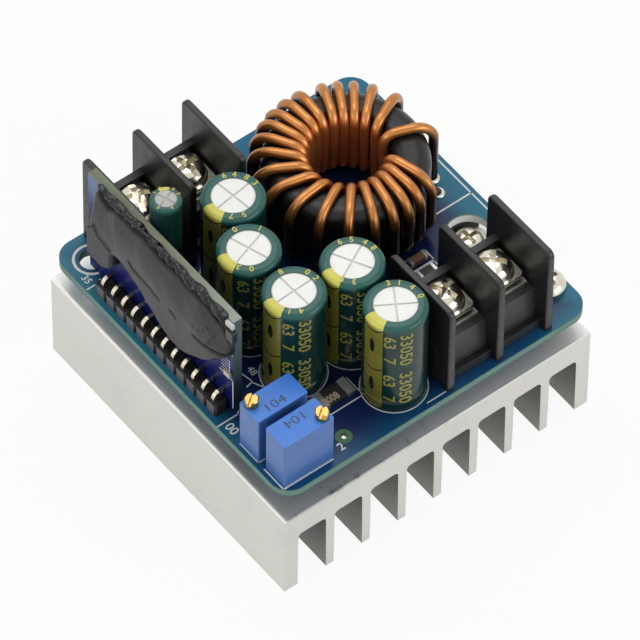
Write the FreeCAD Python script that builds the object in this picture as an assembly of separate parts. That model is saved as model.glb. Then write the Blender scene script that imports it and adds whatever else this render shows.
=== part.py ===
import FreeCAD, Part
import math
import os

os.makedirs("parts", exist_ok=True)

V = FreeCAD.Vector
UP = V(0, 0, 1)
ACROSS = V(1, 0, 0)
BACK = V(0, 1, 0)

# A step-down converter module: a finned heatsink, a circuit board held above it, five large
# capacitors, a toroidal choke, two screw terminal blocks, two trimmers and an upright
# control board with potting. Every x and y is measured from the near left corner of the
# heatsink, x along its finned face and y away from it, and z from the tips of the fins.
# The last step of each piece moves the origin to the centre of the fin tips.

# heatsink
sink_w = 60.0
sink_l = 59.5
sink_h = 18.0
sink_base_t = 5.3
end_fin_t = 2.65
fin_root_t = 1.7
fin_tip_t = 1.5
fin_gap_count = 8
fin_root_r = 0.8
sink_edge_r = 0.4

# main board; its width and length follow further down from the parts that stand on it
board_right_margin = 7.4
board_back_margin = 0.3
board_t = 1.6
board_corner_r = 3.5
board_gap = 4.9
mount_hole_r = 2.0
mount_hole_x = 4.35
mount_hole_back = 5.0
access_hole_r = 3.7
lead_gap = 0.1
pin_out = 1.2

# screws that hold the board and the power devices
m3_r = 1.5
m3_head_r = 2.8
m3_head_h = 2.0
m3_pilot_gap = 0.03
m3_hole_gap = 0.1
tab_screw_l = 7.6
board_screw_l = 10.0
blind_extra = 0.5
recess_arm = 3.2
recess_w = 0.75
recess_depth = 1.2
spacer_r = 2.6
corner_screw_in = 3.0
corner_screw_y = 7.1

# power devices, flat on the heatsink under the board
device_w = 10.0
device_t = 4.5
device_case_l = 9.2
tab_t = 1.3
tab_front = 2.8
tab_open = 3.6
tab_hole_r = 1.9
pad_t = 0.25
pad_margin = 0.5
device_lead_w = 0.8
device_lead_t = 0.5
device_lead_pitch = 2.54
device_lead_z = 2.6
device_lead_run = 1.25
device_lead_up = 0.0
device_in = 6.2
device_a_y = 22.7
device_b_back = 7.0
bush_r = 3.5
bush_flange_t = 1.2
bush_gap = 0.03
washer_r = 2.9
washer_t = 0.8

# toroidal choke
core_r = 13.3
core_bore_r = 7.3
core_h = 11.1
core_bore_edge_r = 2.0
core_edge_r = 2.6
wire_r = 0.8
wire_gap = 0.03
wire_loose = 0.5
wire_bend_in = 2.2
wire_bend_out = 3.6
choke_in = 17.75
choke_back = 20.35
wire_foot = 0.05
lead_bend_r = 1.3
lead_hole_gap = 0.35
outer_angles = [-17, 18, 35, 47.5, 58, 68, 84.5, 95.5, 106.5, 117, 129, 142, 159, 176,
                195, 215, 233.5, 250, 263, 274, 284.5, 297]
inner_angles = [-12, 7, 25, 40, 54.5, 69, 84, 98.5, 113, 127.5, 142, 156.5, 171.5, 189,
                207, 224, 239.5, 254, 268.5, 283, 297.5, 312]
end_lead_angle = 331.0

# large capacitors
can_r = 4.95
can_h = 20.3
sleeve_t = 0.15
sleeve_foot = 0.3
can_edge_r = 0.8
vent_r = 3.45
crimp_z = 2.4
crimp_w = 1.1
crimp_depth = 0.4
seal_r = 4.0
seal_h = 1.4
cap_lead_r = 0.3
cap_lead_pitch = 5.0
score_w = 0.34
score_depth = 0.15
vent_angles = [7.5, 18.4, 2.2, 27.6, 57.6]
cap_5_gap_shunt = 0.35
cap_5_front = 1.6
cap_4_gap = 0.3
cap_4_side = 0.1
cap_3_gap = 0.3
cap_3_back = 0.9
cap_2_gap = 0.5
cap_2_side = 0.4
cap_1_gap = 0.23
cap_1_angle = 65.62
cap_block_gap_right = 0.5
cap_block_gap_left = 0.6

# header that carries the control board
pin_count = 12
pin_pitch = 2.54
pin_side = 0.64
pin_slack = 0.02
header_x = 0.85
header_w = 2.5
header_h = 2.5
header_notch = 0.4
first_pin_y = 19.75
pin_x = 1.6
pin_rise = 4.0
pin_bend_r = 1.2
pin_through = 0.9
solder_r = 0.95
solder_h = 0.7

# upright control board and its potting
control_x = 3.6
control_t = 1.6
control_y0 = 17.4
control_y1 = 53.9
control_h = 22.7
potting_t = 2.3
potting_edge_r = 1.1
potting_outline = [(17.7, 15.0), (21.5, 9.8), (26.9, 6.4), (31.6, 5.7), (36.1, 7.6), (41.6, 8.6), (46.8, 6.9),
                   (51.7, 6.6), (52.3, 10.5), (52.3, 14.5), (52.1, 18.5), (50.9, 21.2), (47.3, 22.2), (42.2, 22.4),
                   (38.7, 22.3), (34.2, 22.2), (29.4, 22.3), (23.5, 22.2), (20.1, 22.0), (18.1, 20.2)]
chip_t = 1.5
chip_w = 3.9
chip_leg_run = 1.0
chip_leg_w = 0.4
chip_leg_t = 0.2
chip_pitch = 1.27
controller_y = 37.0
controller_z = 14.6
controller_legs = 8
amplifier_y = 26.0
amplifier_z = 14.6
amplifier_legs = 4

# small capacitor on the back of the control board
small_can_r = 2.35
small_can_h = 11.0
small_sleeve_t = 0.12
small_vent_r = 1.7
small_vent_angle = 20
small_cap_y = 40.3
small_cap_gap = 0.6
small_cap_bottom = 15.3
small_seal_r = 1.9
small_seal_h = 0.9
small_crimp_w = 0.7
small_crimp_depth = 0.2
small_lead_r = 0.25
small_lead_pitch = 2.0
small_lead_drop = 1.7
small_lead_bend = 0.8

# terminal blocks
bay_count = 2
bay_pitch = 9.6
wall_t = 1.5
wall_top_t = 1.15
wall_edge_r = 0.35
block_l = 15.2
wall_h = 18.9
wall_corner_r = 1.2
block_foot_y = 1.5
block_foot_h = 1.8
block_face_y = 2.6
block_face_top_y = 3.2
ledge_z = 7.8
rim_y = 11.8
rim_t = 1.3
rim_z = 11.4
right_block_y = 0.5
left_block_x = 6.1
strip_w = 7.4
strip_front = 4.4
strip_t = 0.8
strip_gap = 0.15
strip_leg_x = 2.9
strip_leg_w = 0.9
strip_leg_t = 0.8
strip_leg_y = 10.2
screw_y = 8.4
term_screw_r = 1.95
term_screw_l = 8.2
term_head_r = 3.0
term_head_h = 2.0
term_bore_gap = 0.05
well_gap = 0.5
well_floor = 1.3
clamp_w = 7.2
clamp_l = 6.8
clamp_t = 0.8
clamp_rise = 0.7
clamp_boss_r = 3.4
clamp_boss_h = 0.3
clamp_corner_r = 0.9
term_recess_arm = 4.4
term_recess_w = 1.0
term_recess_depth = 1.3
term_slot_depth = 0.7
term_head_angle = 25.0

# trimmers
trim_l = 9.5
trim_w = 4.8
trim_h = 10.0
trim_edge_r = 0.25
trim_a_x = 1.1
trim_a_y = 1.5
trim_b_x = 0.9
trim_b_y = 7.75
trim_wall = 0.5
trim_floor = 0.9
trim_screw_in = 1.35
trim_head_r = 1.1
trim_head_up = 1.5
trim_neck_r = 0.75
trim_worm_r = 0.8
trim_fit = 0.05
trim_slot_w = 0.5
trim_slot_depth = 0.7
wheel_teeth = 33
wheel_r = 2.9
wheel_tooth_h = 0.25
wheel_t = 1.0
wheel_bore_r = 0.65
wiper_r = 1.9
wiper_t = 0.2
wiper_tip = 0.6
element_t = 0.8
element_margin = 0.3
trim_pin_r = 0.25
trim_pin_pitch = 2.54
trim_pin_up = 0.6

# small parts on the boards: x, y, length, width, height, length of each metal end
shunt = (17.7, 10.8, 6.3, 3.2, 0.7, 1.0)
ceramic = (44.0, 23.3, 3.2, 1.4, 1.25, 0.5)
resistor = (43.9, 20.8, 3.2, 1.5, 0.6, 0.5)
chip_end_lip = 0.05

# where the large capacitors stand, each a named gap from its neighbour
sleeve_r = can_r + sleeve_t
apart = 2 * sleeve_r
cap_5 = (shunt[0] + shunt[2] / 2 + cap_5_gap_shunt + sleeve_r, cap_5_front + sleeve_r)
cap_4 = (cap_5[0] - cap_4_side, cap_5[1] + apart + cap_4_gap)
cap_3 = (cap_4[0] - apart - cap_3_gap, cap_4[1] + cap_3_back)
cap_2 = (cap_3[0] - cap_2_side, cap_3[1] + apart + cap_2_gap)
cap_1_way = math.radians(cap_1_angle)
cap_1 = (cap_2[0] + (apart + cap_1_gap) * math.cos(cap_1_way), cap_2[1] + (apart + cap_1_gap) * math.sin(cap_1_way))
cap_spots = [cap_1, cap_2, cap_3, cap_4, cap_5]

# the terminal blocks stand beside the capacitors, and the board ends a margin behind them
block_w = bay_count * bay_pitch + wall_t
right_block_x = cap_5[0] + sleeve_r + cap_block_gap_right
left_block_y = cap_1[1] + sleeve_r + cap_block_gap_left
board_w = right_block_x + block_w + board_right_margin
board_l = left_block_y + block_l + board_back_margin

board_z = sink_h + board_gap
top_z = board_z + board_t
board_holes = []
sink_holes = []
control_holes = []
potting_pockets = []


def save(name, shapes):
    group = shapes[0]
    if len(shapes) > 1:
        group = Part.makeCompound(shapes)
    group.translated(V(-sink_w / 2, -sink_l / 2, 0)).exportStep("parts/" + name + ".step")


def box(x0, x1, y0, y1, z0, z1):
    return Part.makeBox(x1 - x0, y1 - y0, z1 - z0, V(x0, y0, z0))


def rod(x, y, z0, z1, r):
    return Part.makeCylinder(r, z1 - z0, V(x, y, z0), UP)


def ring(x, y, z0, z1, r_out, r_in):
    return rod(x, y, z0, z1, r_out).cut(rod(x, y, z0, z1, r_in))


def cut_all(shape, tools):
    if not tools:
        return shape
    return shape.cut(Part.makeCompound(tools))


def join(shapes):
    return shapes[0].fuse(shapes[1:]).removeSplitter()


def edges_along(shape, axis, test):
    found = []
    for edge in shape.Edges:
        if edge.Curve.TypeId != "Part::GeomLine":
            continue
        way = edge.tangentAt(edge.FirstParameter)
        if abs(abs(way.dot(axis)) - 1) < 1e-6 and test(edge.CenterOfMass):
            found.append(edge)
    return found


def prism(points, way):
    wire = Part.makePolygon(points + [points[0]])
    return Part.Face(wire).extrude(way)


def spin(edges, x, y):
    face = Part.Face(Part.Wire(edges))
    return face.revolve(V(0, 0, 0), UP, 360).translated(V(x, y, 0))


def polar(r, angle, z):
    a = math.radians(angle)
    return V(r * math.cos(a), r * math.sin(a), z)


def rounded_path(points, radii):
    # straight runs through the points, joined by tangent arcs of the given radii
    edges = []
    start = points[0]
    for before, corner, after, r in zip(points, points[1:], points[2:], radii):
        u = (before - corner).normalize()
        w = (after - corner).normalize()
        half = u.getAngle(w) / 2
        reach = r / math.tan(half)
        middle = (u + w).normalize()
        p = corner + u * reach
        q = corner + w * reach
        m = corner + middle * (r / math.sin(half) - r)
        edges.append(Part.LineSegment(start, p).toShape())
        edges.append(Part.Arc(p, m, q).toShape())
        start = q
    edges.append(Part.LineSegment(start, points[-1]).toShape())
    return Part.Wire(edges)


def sweep_round(path, r):
    first = path.Edges[0]
    way = first.tangentAt(first.FirstParameter)
    section = Part.Wire(Part.makeCircle(r, first.valueAt(first.FirstParameter), way))
    return path.makePipeShell([section], True, False)


def cross_recess(x, y, z, arm, width, depth):
    half = arm / 2
    one = box(x - half, x + half, y - width / 2, y + width / 2, z - depth, z + depth)
    two = box(x - width / 2, x + width / 2, y - half, y + half, z - depth, z + depth)
    return one.fuse(two)


def pan_screw(x, y, seat, head_r, head_h, shank_r, length, arm, width, depth, slot=0, turn=0):
    # the head is a low dome over a straight rim; slot is the depth of a slot right across it
    rim = head_h * 0.5
    shoulder = V(head_r * 0.8, 0, seat + head_h * 0.9)
    edges = [
        Part.LineSegment(V(0, 0, seat - length), V(shank_r * 0.7, 0, seat - length)).toShape(),
        Part.LineSegment(V(shank_r * 0.7, 0, seat - length), V(shank_r, 0, seat - length + shank_r * 0.3)).toShape(),
        Part.LineSegment(V(shank_r, 0, seat - length + shank_r * 0.3), V(shank_r, 0, seat)).toShape(),
        Part.LineSegment(V(shank_r, 0, seat), V(head_r, 0, seat)).toShape(),
        Part.LineSegment(V(head_r, 0, seat), V(head_r, 0, seat + rim)).toShape(),
        Part.Arc(V(head_r, 0, seat + rim), shoulder, V(0, 0, seat + head_h + rim * 0.2)).toShape(),
        Part.LineSegment(V(0, 0, seat + head_h + rim * 0.2), V(0, 0, seat - length)).toShape(),
    ]
    body = spin(edges, x, y)
    cuts = [cross_recess(x, y, seat + head_h, arm, width, depth)]
    if slot:
        cuts.append(box(x - head_r, x + head_r, y - width / 2, y + width / 2, seat + head_h - slot, seat + head_h + depth))
    return cut_all(body, [c.rotated(V(x, y, 0), UP, turn) for c in cuts])


# main board screw at the right corner, with the spacer under the board
corner_x = board_w - corner_screw_in
spacer = ring(corner_x, corner_screw_y, sink_h, board_z, spacer_r, m3_r + m3_hole_gap)
corner_screw = pan_screw(corner_x, corner_screw_y, top_z, m3_head_r, m3_head_h, m3_r, board_screw_l,
                         recess_arm, recess_w, recess_depth)
board_holes.append((corner_x, corner_screw_y, m3_r + m3_hole_gap))
sink_holes.append((corner_x, corner_screw_y, top_z - board_screw_l - blind_extra))
board_holes.append((mount_hole_x, board_l - mount_hole_back, mount_hole_r))
save("spacer", [spacer])

# two power devices lie on insulating pads, each held by a screw through its tab; the screw
# is reached through a large hole in the board, and the three leads rise through the board
pads = []
bushes = []
washers = []
screws = [corner_screw]
pad_top = sink_h + pad_t
tab_top = pad_top + tab_t
washer_seat = tab_top + bush_flange_t
device_x = board_w - device_in
case_start = tab_open
case_end = tab_open + device_case_l
half_w = device_w / 2


def power_device(y, turn):
    def place(shape):
        shape = shape.rotated(V(0, 0, 0), UP, turn)
        return shape.translated(V(device_x, y, 0))

    tab = box(-half_w, half_w, -tab_front, case_start, pad_top, tab_top)
    tail = box(-half_w * 0.86, half_w * 0.86, case_start, case_end - 0.8, pad_top, tab_top)
    tab = join([tab, tail]).cut(rod(0, 0, pad_top, tab_top, tab_hole_r))
    case = box(-half_w, half_w, case_start, case_end, pad_top, pad_top + device_t)
    top_edges = [e for e in case.Edges if e.CenterOfMass.z > pad_top + device_t - 0.01]
    case = case.makeChamfer(0.4, top_edges).cut(tail)
    lead_low = pad_top + device_lead_z - device_lead_t / 2
    lead_high = lead_low + device_lead_t
    lead_y = case_end + device_lead_run
    leads = []
    for step in (-1, 0, 1):
        x = step * device_lead_pitch
        flat = box(x - device_lead_w / 2, x + device_lead_w / 2, case_end - 1.2, lead_y, lead_low, lead_high)
        rise = box(x - device_lead_w / 2, x + device_lead_w / 2, lead_y - device_lead_t, lead_y, lead_low,
                   top_z + device_lead_up)
        lead = join([flat, rise])
        bend = edges_along(lead, ACROSS, lambda c: abs(c.y - lead_y) < 0.01 and abs(c.z - lead_low) < 0.01)
        lead = lead.makeFillet(device_lead_t * 0.8, bend)
        leads.append(place(lead))
        case = case.cut(flat)
        side = -1 if turn else 1
        board_holes.append((device_x + side * x, y + side * (lead_y - device_lead_t / 2),
                            math.hypot(device_lead_w, device_lead_t) / 2 + lead_gap))
    pad = box(-half_w - pad_margin, half_w + pad_margin, -tab_front - pad_margin, case_end + pad_margin, sink_h, pad_top)
    pads.append(place(pad.cut(rod(0, 0, sink_h, pad_top, tab_hole_r))))
    flange = rod(device_x, y, tab_top, washer_seat, bush_r)
    sleeve = rod(device_x, y, pad_top + 0.1, tab_top, tab_hole_r - bush_gap)
    bushes.append(join([flange, sleeve]).cut(rod(device_x, y, pad_top, washer_seat, m3_r + bush_gap)))
    slit = box(device_x, device_x + washer_r, y - 0.15, y + 0.15, washer_seat, washer_seat + washer_t)
    washers.append(ring(device_x, y, washer_seat, washer_seat + washer_t, washer_r, m3_r + m3_hole_gap).cut(slit))
    screws.append(pan_screw(device_x, y, washer_seat + washer_t, m3_head_r, m3_head_h, m3_r, tab_screw_l,
                            recess_arm, recess_w, recess_depth))
    sink_holes.append((device_x, y, washer_seat + washer_t - tab_screw_l - blind_extra))
    board_holes.append((device_x, y, access_hole_r))
    return place(case), [place(tab)] + leads


case, frame = power_device(device_a_y, 0)
save("transistor_case", [case])
save("transistor_leadframe", frame)
case, frame = power_device(board_l - device_b_back, 180)
save("diode_case", [case])
save("diode_leadframe", frame)
save("insulating_pads", pads)
save("insulating_bushes", bushes)
save("spring_washers", washers)
save("board_screws", screws)

# heatsink: a solid base with gaps cut between tapering fins
fin_pitch = (sink_w - 2 * end_fin_t + fin_root_t) / fin_gap_count
root_half = (fin_pitch - fin_root_t) / 2
tip_half = (fin_pitch - fin_tip_t) / 2
root_z = sink_h - sink_base_t
sink = box(0, sink_w, 0, sink_l, 0, sink_h)
sink = sink.makeFillet(sink_edge_r, edges_along(sink, BACK, lambda c: c.z > sink_h - 0.01))
gaps = []
for i in range(fin_gap_count):
    x = end_fin_t + root_half + i * fin_pitch
    gap = prism([V(x - tip_half, 0, 0), V(x + tip_half, 0, 0), V(x + root_half, 0, root_z), V(x - root_half, 0, root_z)],
                V(0, sink_l, 0))
    gaps.append(gap.makeFillet(fin_root_r, edges_along(gap, BACK, lambda c: c.z > root_z - 0.01)))
for x, y, floor in sink_holes:
    gaps.append(rod(x, y, floor, sink_h, m3_r + m3_pilot_gap))
save("heatsink", [cut_all(sink, gaps)])

# toroidal choke: a rounded core and one wire that passes 22 times through its bore
choke_x = board_w - choke_in
choke_y = board_l - choke_back
wire_low = top_z + wire_foot + wire_r
core_z = wire_low + wire_r + wire_gap
wire_high = core_z + core_h + wire_gap + wire_r
wire_in = core_bore_r - wire_gap - wire_r
wire_out = core_r + wire_loose + wire_r
core = ring(choke_x, choke_y, core_z, core_z + core_h, core_r, core_bore_r)
circles = [e for e in core.Edges if e.Curve.TypeId == "Part::GeomCircle"]
core = core.makeFillet(core_edge_r, [e for e in circles if e.Curve.Radius > (core_r + core_bore_r) / 2])
circles = [e for e in core.Edges if e.Curve.TypeId == "Part::GeomCircle"]
core = core.makeFillet(core_bore_edge_r, [e for e in circles if abs(e.Curve.Radius - core_bore_r) < 0.01])
save("choke_core", [core])

stops = [polar(wire_out, outer_angles[0], board_z)]
bends = []
for turn, (outer, inner) in enumerate(zip(outer_angles, inner_angles)):
    if turn:
        stops.append(polar(wire_out, outer, wire_low))
        bends.append(wire_bend_out)
    stops.append(polar(wire_out, outer, wire_high))
    stops.append(polar(wire_in, inner, wire_high))
    stops.append(polar(wire_in, inner, wire_low))
    bends += [wire_bend_out, wire_bend_in, wire_bend_in]
stops.append(polar(wire_out, end_lead_angle, wire_low))
stops.append(polar(wire_out, end_lead_angle, board_z))
bends.append(lead_bend_r)
centre = V(choke_x, choke_y, 0)
winding = sweep_round(rounded_path([p + centre for p in stops], bends), wire_r)
save("choke_winding", [winding])
for p in (stops[0], stops[-1]):
    board_holes.append((choke_x + p.x, choke_y + p.y, wire_r + lead_hole_gap))


# capacitors: an aluminium can with a crimp, a printed sleeve, a rubber seal and two leads
def can_side(r, z0, z1, crimp, width, depth):
    # the outside of a can from the foot to the rim, with the crimp rolled in near the foot
    return [
        Part.LineSegment(V(r, 0, z0), V(r, 0, crimp - width / 2)).toShape(),
        Part.Arc(V(r, 0, crimp - width / 2), V(r - depth, 0, crimp), V(r, 0, crimp + width / 2)).toShape(),
        Part.LineSegment(V(r, 0, crimp + width / 2), V(r, 0, z1)).toShape(),
    ]


def capacitor(x, y, z, turn, r, h, wrap, disc_r, plug_r, plug_h, groove_w, groove_d, edge):
    crimp = z + crimp_z * h / can_h
    foot = z + sleeve_foot
    top = z + h
    near = edge * (1 - math.sqrt(0.5))
    rim = Part.Arc(V(r, 0, top - edge), V(r - near, 0, top - near), V(r - edge, 0, top)).toShape()
    can_edges = [Part.LineSegment(V(plug_r, 0, z), V(r - 0.2, 0, z)).toShape(),
                 Part.LineSegment(V(r - 0.2, 0, z), V(r, 0, z + 0.2)).toShape()]
    can_edges += can_side(r, z + 0.2, top - edge, crimp, groove_w, groove_d)
    can_edges += [rim, Part.LineSegment(V(r - edge, 0, top), V(0, 0, top)).toShape(),
                  Part.LineSegment(V(0, 0, top), V(0, 0, z + plug_h)).toShape(),
                  Part.LineSegment(V(0, 0, z + plug_h), V(plug_r, 0, z + plug_h)).toShape(),
                  Part.LineSegment(V(plug_r, 0, z + plug_h), V(plug_r, 0, z)).toShape()]
    can = spin(can_edges, x, y)
    score = cross_recess(x, y, top, disc_r * 1.96, score_w, score_depth)
    can = can.cut(score.rotated(V(x, y, 0), UP, turn))

    big = r + wrap
    fold = edge + wrap
    near_out = fold * (1 - math.sqrt(0.5))
    rim_out = Part.Arc(V(big, 0, top - edge), V(big - near_out, 0, top + wrap - near_out), V(r - edge, 0, top + wrap)).toShape()
    rim_in = Part.Arc(V(r, 0, top - edge), V(r - near, 0, top - near), V(r - edge, 0, top)).toShape()
    skin = can_side(big, foot, top - edge, crimp, groove_w + wrap, groove_d)
    skin += [rim_out, Part.LineSegment(V(r - edge, 0, top + wrap), V(disc_r, 0, top + wrap)).toShape(),
             Part.LineSegment(V(disc_r, 0, top + wrap), V(disc_r, 0, top)).toShape(),
             Part.LineSegment(V(disc_r, 0, top), V(r - edge, 0, top)).toShape(), rim_in]
    skin += can_side(r, foot, top - edge, crimp, groove_w, groove_d)
    skin.append(Part.LineSegment(V(r, 0, foot), V(big, 0, foot)).toShape())
    sleeve = spin(Part.__sortEdges__(skin), x, y)
    return can, sleeve, rod(x, y, z, z + plug_h, plug_r)


seals = []
cap_leads = []
for number, ((x, y), turn) in enumerate(zip(cap_spots, vent_angles), 1):
    can, sleeve, seal = capacitor(x, y, top_z, turn, can_r, can_h, sleeve_t, vent_r, seal_r, seal_h,
                                  crimp_w, crimp_depth, can_edge_r)
    for side in (-1, 1):
        lead_x = x + side * cap_lead_pitch / 2
        lead = rod(lead_x, y, board_z - pin_out, top_z + seal_h, cap_lead_r)
        cap_leads.append(lead)
        seal = seal.cut(lead)
        board_holes.append((lead_x, y, cap_lead_r + lead_gap))
    seals.append(seal)
    save("capacitor_%d_can" % number, [can])
    save("capacitor_%d_sleeve" % number, [sleeve])

# the small capacitor stands behind the control board, its leads bent forward into that board
control_back = control_x + control_t
small_x = control_back + small_cap_gap + small_can_r + small_sleeve_t
small_z = top_z + small_cap_bottom
can, sleeve, seal = capacitor(small_x, small_cap_y, small_z, small_vent_angle, small_can_r, small_can_h,
                              small_sleeve_t, small_vent_r, small_seal_r, small_seal_h, small_crimp_w, small_crimp_depth,
                              can_edge_r / 2)
for side in (-1, 1):
    lead_y = small_cap_y + side * small_lead_pitch / 2
    lead_z = small_z - small_lead_drop
    path = rounded_path([V(small_x, lead_y, small_z + small_seal_h), V(small_x, lead_y, lead_z), V(control_x, lead_y, lead_z)],
                        [small_lead_bend])
    lead = sweep_round(path, small_lead_r)
    cap_leads.append(lead)
    seal = seal.cut(rod(small_x, lead_y, small_z, small_z + small_seal_h, small_lead_r))
    control_holes.append((lead_y, lead_z, small_lead_r + lead_gap))
seals.append(seal)
save("small_capacitor_can", [can])
save("small_capacitor_sleeve", [sleeve])
save("capacitor_seals", seals)
save("capacitor_leads", cap_leads)

# header: a row of moulded blocks, parted by notches, with pins that bend into the control board
row_start = first_pin_y - pin_pitch / 2
near_side = []
far_side = []
for i in range(pin_count):
    y = row_start + i * pin_pitch
    near_side += [V(header_x + header_notch, y, top_z), V(header_x, y + header_notch, top_z),
                  V(header_x, y + pin_pitch - header_notch, top_z)]
    far_side += [V(header_x + header_w - header_notch, y, top_z), V(header_x + header_w, y + header_notch, top_z),
                 V(header_x + header_w, y + pin_pitch - header_notch, top_z)]
row_end = row_start + pin_count * pin_pitch
near_side.append(V(header_x + header_notch, row_end, top_z))
far_side.append(V(header_x + header_w - header_notch, row_end, top_z))
header = prism(near_side + far_side[::-1], V(0, 0, header_h))
pins = []
solder = []
pin_half = pin_side / 2
pin_z = top_z + pin_rise
slots = []
for i in range(pin_count):
    y = first_pin_y + i * pin_pitch
    upright = box(pin_x - pin_half, pin_x + pin_half, y - pin_half, y + pin_half, board_z - pin_out, pin_z + pin_half)
    level = box(pin_x - pin_half, control_back + pin_through, y - pin_half, y + pin_half, pin_z - pin_half, pin_z + pin_half)
    pin = join([upright, level])
    outside = edges_along(pin, BACK, lambda c: c.x < pin_x and c.z > pin_z)
    inside = edges_along(pin, BACK, lambda c: pin_x < c.x < control_x and abs(c.z - pin_z + pin_half) < 0.01
                         and abs(c.x - pin_x - pin_half) < 0.01)
    pin = pin.makeFillet(pin_bend_r + pin_half * 0.6, outside)
    pin = pin.makeFillet(pin_bend_r - pin_half, inside)
    pins.append(pin)
    wide = pin_half + pin_slack
    slots.append(box(pin_x - wide, pin_x + wide, y - wide, y + wide, top_z, top_z + header_h))
    board_holes.append((pin_x, y, pin_half * math.sqrt(2) + lead_gap))
    control_holes.append((y, pin_z, pin_half * math.sqrt(2) + lead_gap))
    blob = Part.makeCone(solder_r, pin_half * 1.5, solder_h, V(control_back, y, pin_z), ACROSS)
    solder.append(blob.cut(pin))
save("header_body", [cut_all(header, slots)])
save("header_pins", pins)
save("header_solder", solder)


# chips on the front of the control board, under the potting
def gull_wing_chip(y, z, legs):
    length = legs * chip_pitch - 0.3
    body = box(control_x - chip_t, control_x - 0.1, y - length / 2, y + length / 2, z - chip_w / 2, z + chip_w / 2)
    pieces = [body]
    half = chip_w / 2
    reach = half + chip_leg_run
    middle = control_x - chip_t / 2
    for i in range(legs):
        leg_y = y + (i - (legs - 1) / 2) * chip_pitch
        for side in (-1, 1):
            far = sorted((z + side * (half - 0.1), z + side * (reach - 0.5)))
            foot = sorted((z + side * (reach - 0.5 - chip_leg_t), z + side * reach))
            pieces.append(box(middle - chip_leg_t, middle, leg_y - chip_leg_w / 2, leg_y + chip_leg_w / 2, far[0], far[1]))
            drop = sorted((z + side * (reach - 0.5 - chip_leg_t), z + side * (reach - 0.5)))
            pieces.append(box(middle - chip_leg_t, control_x, leg_y - chip_leg_w / 2, leg_y + chip_leg_w / 2, drop[0], drop[1]))
            pieces.append(box(control_x - chip_leg_t, control_x, leg_y - chip_leg_w / 2, leg_y + chip_leg_w / 2, foot[0], foot[1]))
    potting_pockets.append(box(control_x - chip_t, control_x, y - length / 2, y + length / 2, z - reach, z + reach))
    return join(pieces)


save("controller_chip", [gull_wing_chip(controller_y, top_z + controller_z, controller_legs)])
save("amplifier_chip", [gull_wing_chip(amplifier_y, top_z + amplifier_z, amplifier_legs)])

# control board and the potting poured over its chips
control = box(control_x, control_back, control_y0, control_y1, top_z, top_z + control_h)
holes = []
for y, z, r in control_holes:
    holes.append(Part.makeCylinder(r, control_t, V(control_x, y, z), ACROSS))
save("control_board", [cut_all(control, holes)])

outline = Part.BSplineCurve()
outline.interpolate([V(control_x, y, top_z + z) for y, z in potting_outline], PeriodicFlag=True)
potting = Part.Face(Part.Wire(outline.toShape())).extrude(V(-potting_t, 0, 0))
face_edges = [e for e in potting.Edges if abs(e.CenterOfMass.x - control_x + potting_t) < 0.01]
potting = potting.makeFillet(potting_edge_r, face_edges)
save("potting", [cut_all(potting, potting_pockets)])


# small parts: a body with a metal cap over each end
def chip_part(part, z):
    x, y, length, width, height, end = part
    half = length / 2
    body = box(x - half + end, x + half - end, y - width / 2 + chip_end_lip, y + width / 2 - chip_end_lip,
               z, z + height - chip_end_lip)
    left = box(x - half, x - half + end, y - width / 2, y + width / 2, z, z + height)
    right = box(x + half - end, x + half, y - width / 2, y + width / 2, z, z + height)
    return join([body, left, right])


save("shunt_resistor", [chip_part(shunt, top_z)])
save("ceramic_capacitor", [chip_part(ceramic, top_z)])
save("chip_resistor", [chip_part(resistor, top_z)])

# terminal blocks: walls between bays, a stepped body, a contact strip, a clamp and a screw
clamp_seat = ledge_z + strip_t + clamp_rise
clamp_top = clamp_seat + clamp_t + clamp_boss_h
contacts = []
screw_tally = 0


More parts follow.
